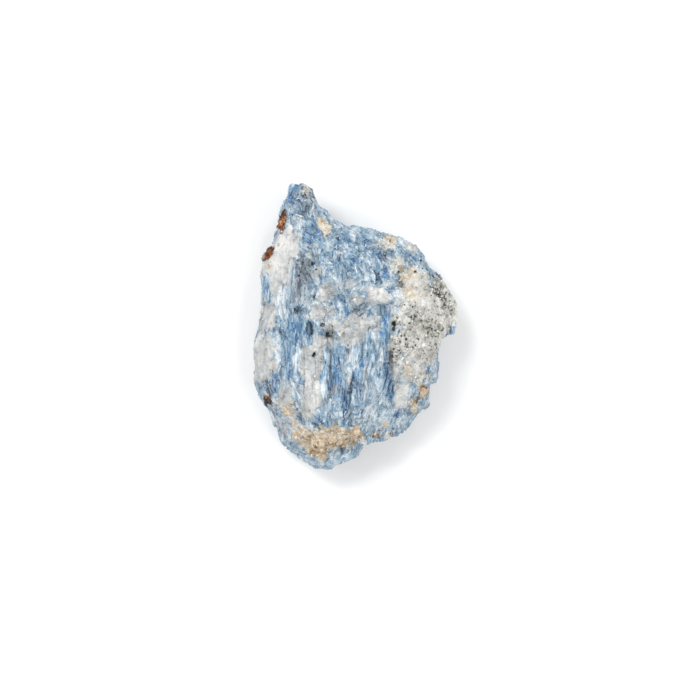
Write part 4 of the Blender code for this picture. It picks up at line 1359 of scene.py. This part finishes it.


# Mica: six-sided plates in clusters, most of them black and some silvery. They gather in the schist, in the
# specks and in the dark patches, so some black flakes lie where the stone holds painted shade.
def makeMica(surface):
    rng = np.random.default_rng(micaSizes["seed"])

    def weight(stone):
        rock = ramp(faceMix(stone, "schist"), 0.3, 0.6)
        cluster = ramp(noise(stone["centres"] / 2.2, 90), 0.0, 0.5)
        dark = faceMix(stone, "dark") * 0.6 + faceMix(stone, "specks")
        return (rock * (0.02 + cluster * 0.06) + dark * 1.2) * (stone["centres"][:, 2] > 1.2)

    count = micaSizes["count"]
    spots = spotsOn(surface, count, weight, rng)
    pieces, faces = unitPieces(count, roundProfile(6), (-1, 1), (1.0, 0.94), (-1.05, 1.05), 0.10, rng)
    radius = np.interp(rng.beta(1.4, 2.6, count), (0, 1), micaSizes["sizes"]) / 2
    thick = rng.uniform(*micaSizes["thickness"], count) / 2
    halves = np.column_stack([radius, thick, radius * rng.uniform(0.7, 1.2, count)])
    axes = axesAt(spots, rng.uniform(-90, 90, count), 35, rng)
    axes = np.stack([axes[:, 0], axes[:, 2], -axes[:, 1]], axis=1)
    look = Finish("mica")
    fibre = look.attribute("fibre", "Vector")
    sheet = look.grain(fibre, (4, 9, 4), detail=3.0)
    depth = look.attribute("depth") + (sheet - 0.5) * 0.25
    look.set("Base Color", look.stops(depth, [
        (0.0, (0.010, 0.010, 0.011)), (0.45, (0.045, 0.043, 0.038)), (0.62, (0.25, 0.24, 0.21)),
        (1.0, (0.80, 0.80, 0.77)),
    ]))
    look.set("Roughness", (0.14 + sheet * 0.22).clamped())
    look.set("Specular IOR Level", 0.8)
    silver = rng.random(count) < 0.22
    depth = np.where(silver, rng.uniform(0.62, 1.0, count), rng.uniform(0.0, 0.5, count))
    joinPieces(
        "micaFlakes", pieces, faces, spots, axes, halves, thick * rng.uniform(0.0, 1.5, count),
        {"depth": depth}, look.material,
    )


# How light the grains of each kind are: a random part about a middle, lighter where the stone is
# pale and darker in its dark patches, which hold painted shade. Some grains of schist are black.
def quartzDepth(spots, rng):
    return rng.normal(0.68, 0.14, len(spots["pale"])) + 0.15 * spots["pale"] - 0.3 * spots["dark"]


def schistDepth(spots, rng):
    depth = rng.normal(0.66, 0.16, len(spots["pale"])) - 0.34 * spots["dark"]
    return np.where(rng.random(len(depth)) < 0.07 + 0.25 * spots["dark"], 0.05, depth)


def clayDepth(spots, rng):
    return rng.normal(0.62, 0.17, len(spots["pale"])) - 0.2 * spots["dark"]


def rustDepth(spots, rng):
    return rng.normal(0.48, 0.20, len(spots["pale"]))


# Camera, light and table

studio = {
    "lens": 100.0,
    "sensor": 36.0,
    # the photo's side and the stone's middle in it, in pixels, and a pixel's size in millimetres
    "photoSide": 700.0,
    "photoMiddle": (356.0, 327.5),
    "pixel": 0.209,
    "focusHeight": 10.0,  # the height in millimetres at which that size holds
    "world": 0.60,
    # name, place in metres, size, power in watts
    "lamps": [
        ("key", (-0.30, 0.34, 0.60), 0.34, 2.7),
        ("fill", (0.40, -0.24, 0.50), 0.50, 1.5),
        ("sparkLeft", (-0.50, 0.05, 0.50), 0.05, 0.30),
        ("sparkRight", (0.25, 0.45, 0.55), 0.05, 0.30),
        ("sparkTop", (0.02, -0.22, 0.75), 0.05, 0.30),
    ],
}


# The camera looks straight down, so far up that a pixel at the focus height has its size, and so
# far aside that the stone lies where it does in the photo
def makeCamera():
    data = bpy.data.cameras.new("camera")
    data.lens = studio["lens"]
    data.sensor_width = studio["sensor"]
    data.clip_start = 0.01
    camera = bpy.data.objects.new("camera", data)
    bpy.context.scene.collection.objects.link(camera)
    side = studio["photoSide"] * studio["pixel"] * mm
    height = side * data.lens / data.sensor_width + studio["focusHeight"] * mm
    x = (studio["photoSide"] / 2 - studio["photoMiddle"][0]) * studio["pixel"] * mm
    y = (studio["photoMiddle"][1] - studio["photoSide"] / 2) * studio["pixel"] * mm
    camera.location = (x, y, height)
    bpy.context.scene.camera = camera


def makeLamp(name, place, size, power):
    data = bpy.data.lights.new(name, "AREA")
    data.shape = "DISK"
    data.size = size
    data.energy = power
    lamp = bpy.data.objects.new(name, data)
    bpy.context.scene.collection.objects.link(lamp)
    lamp.location = place
    lamp.rotation_mode = "QUATERNION"
    lamp.rotation_quaternion = (-Vector(place)).to_track_quat("-Z", "Y")


def makeStudio():
    makeCamera()
    for lamp in studio["lamps"]:
        makeLamp(*lamp)
    world = bpy.data.worlds.new("world")
    world.use_nodes = True
    world.node_tree.nodes["Background"].inputs["Color"].default_value = (1, 1, 1, 1)
    world.node_tree.nodes["Background"].inputs["Strength"].default_value = studio["world"]
    bpy.context.scene.world = world
    bpy.context.scene.view_settings.view_transform = "Standard"
    corners = np.array([(-1, -1, 0), (1, -1, 0), (1, 1, 0), (-1, 1, 0)]) * 1.5
    table = newObject("table", corners, [[0, 1, 2, 3]])
    pale = Finish("table")
    pale.set("Base Color", (0.93, 0.93, 0.93, 1))
    pale.set("Roughness", 0.9)
    table.data.materials.append(pale.material)
    print("studio ready")


makeStudio()
stone, surface = makeStone()
tree = surfaceTree(surface)
makeBlades(surface, tree, stone.data.materials[0])
makeNeedles(surface)
makeGrains(surface, "quartz", quartzDepth)
makeGrains(surface, "schist", schistDepth)
makeGrains(surface, "clay", clayDepth)
makeGrains(surface, "rust", rustDepth)
makeMica(surface)
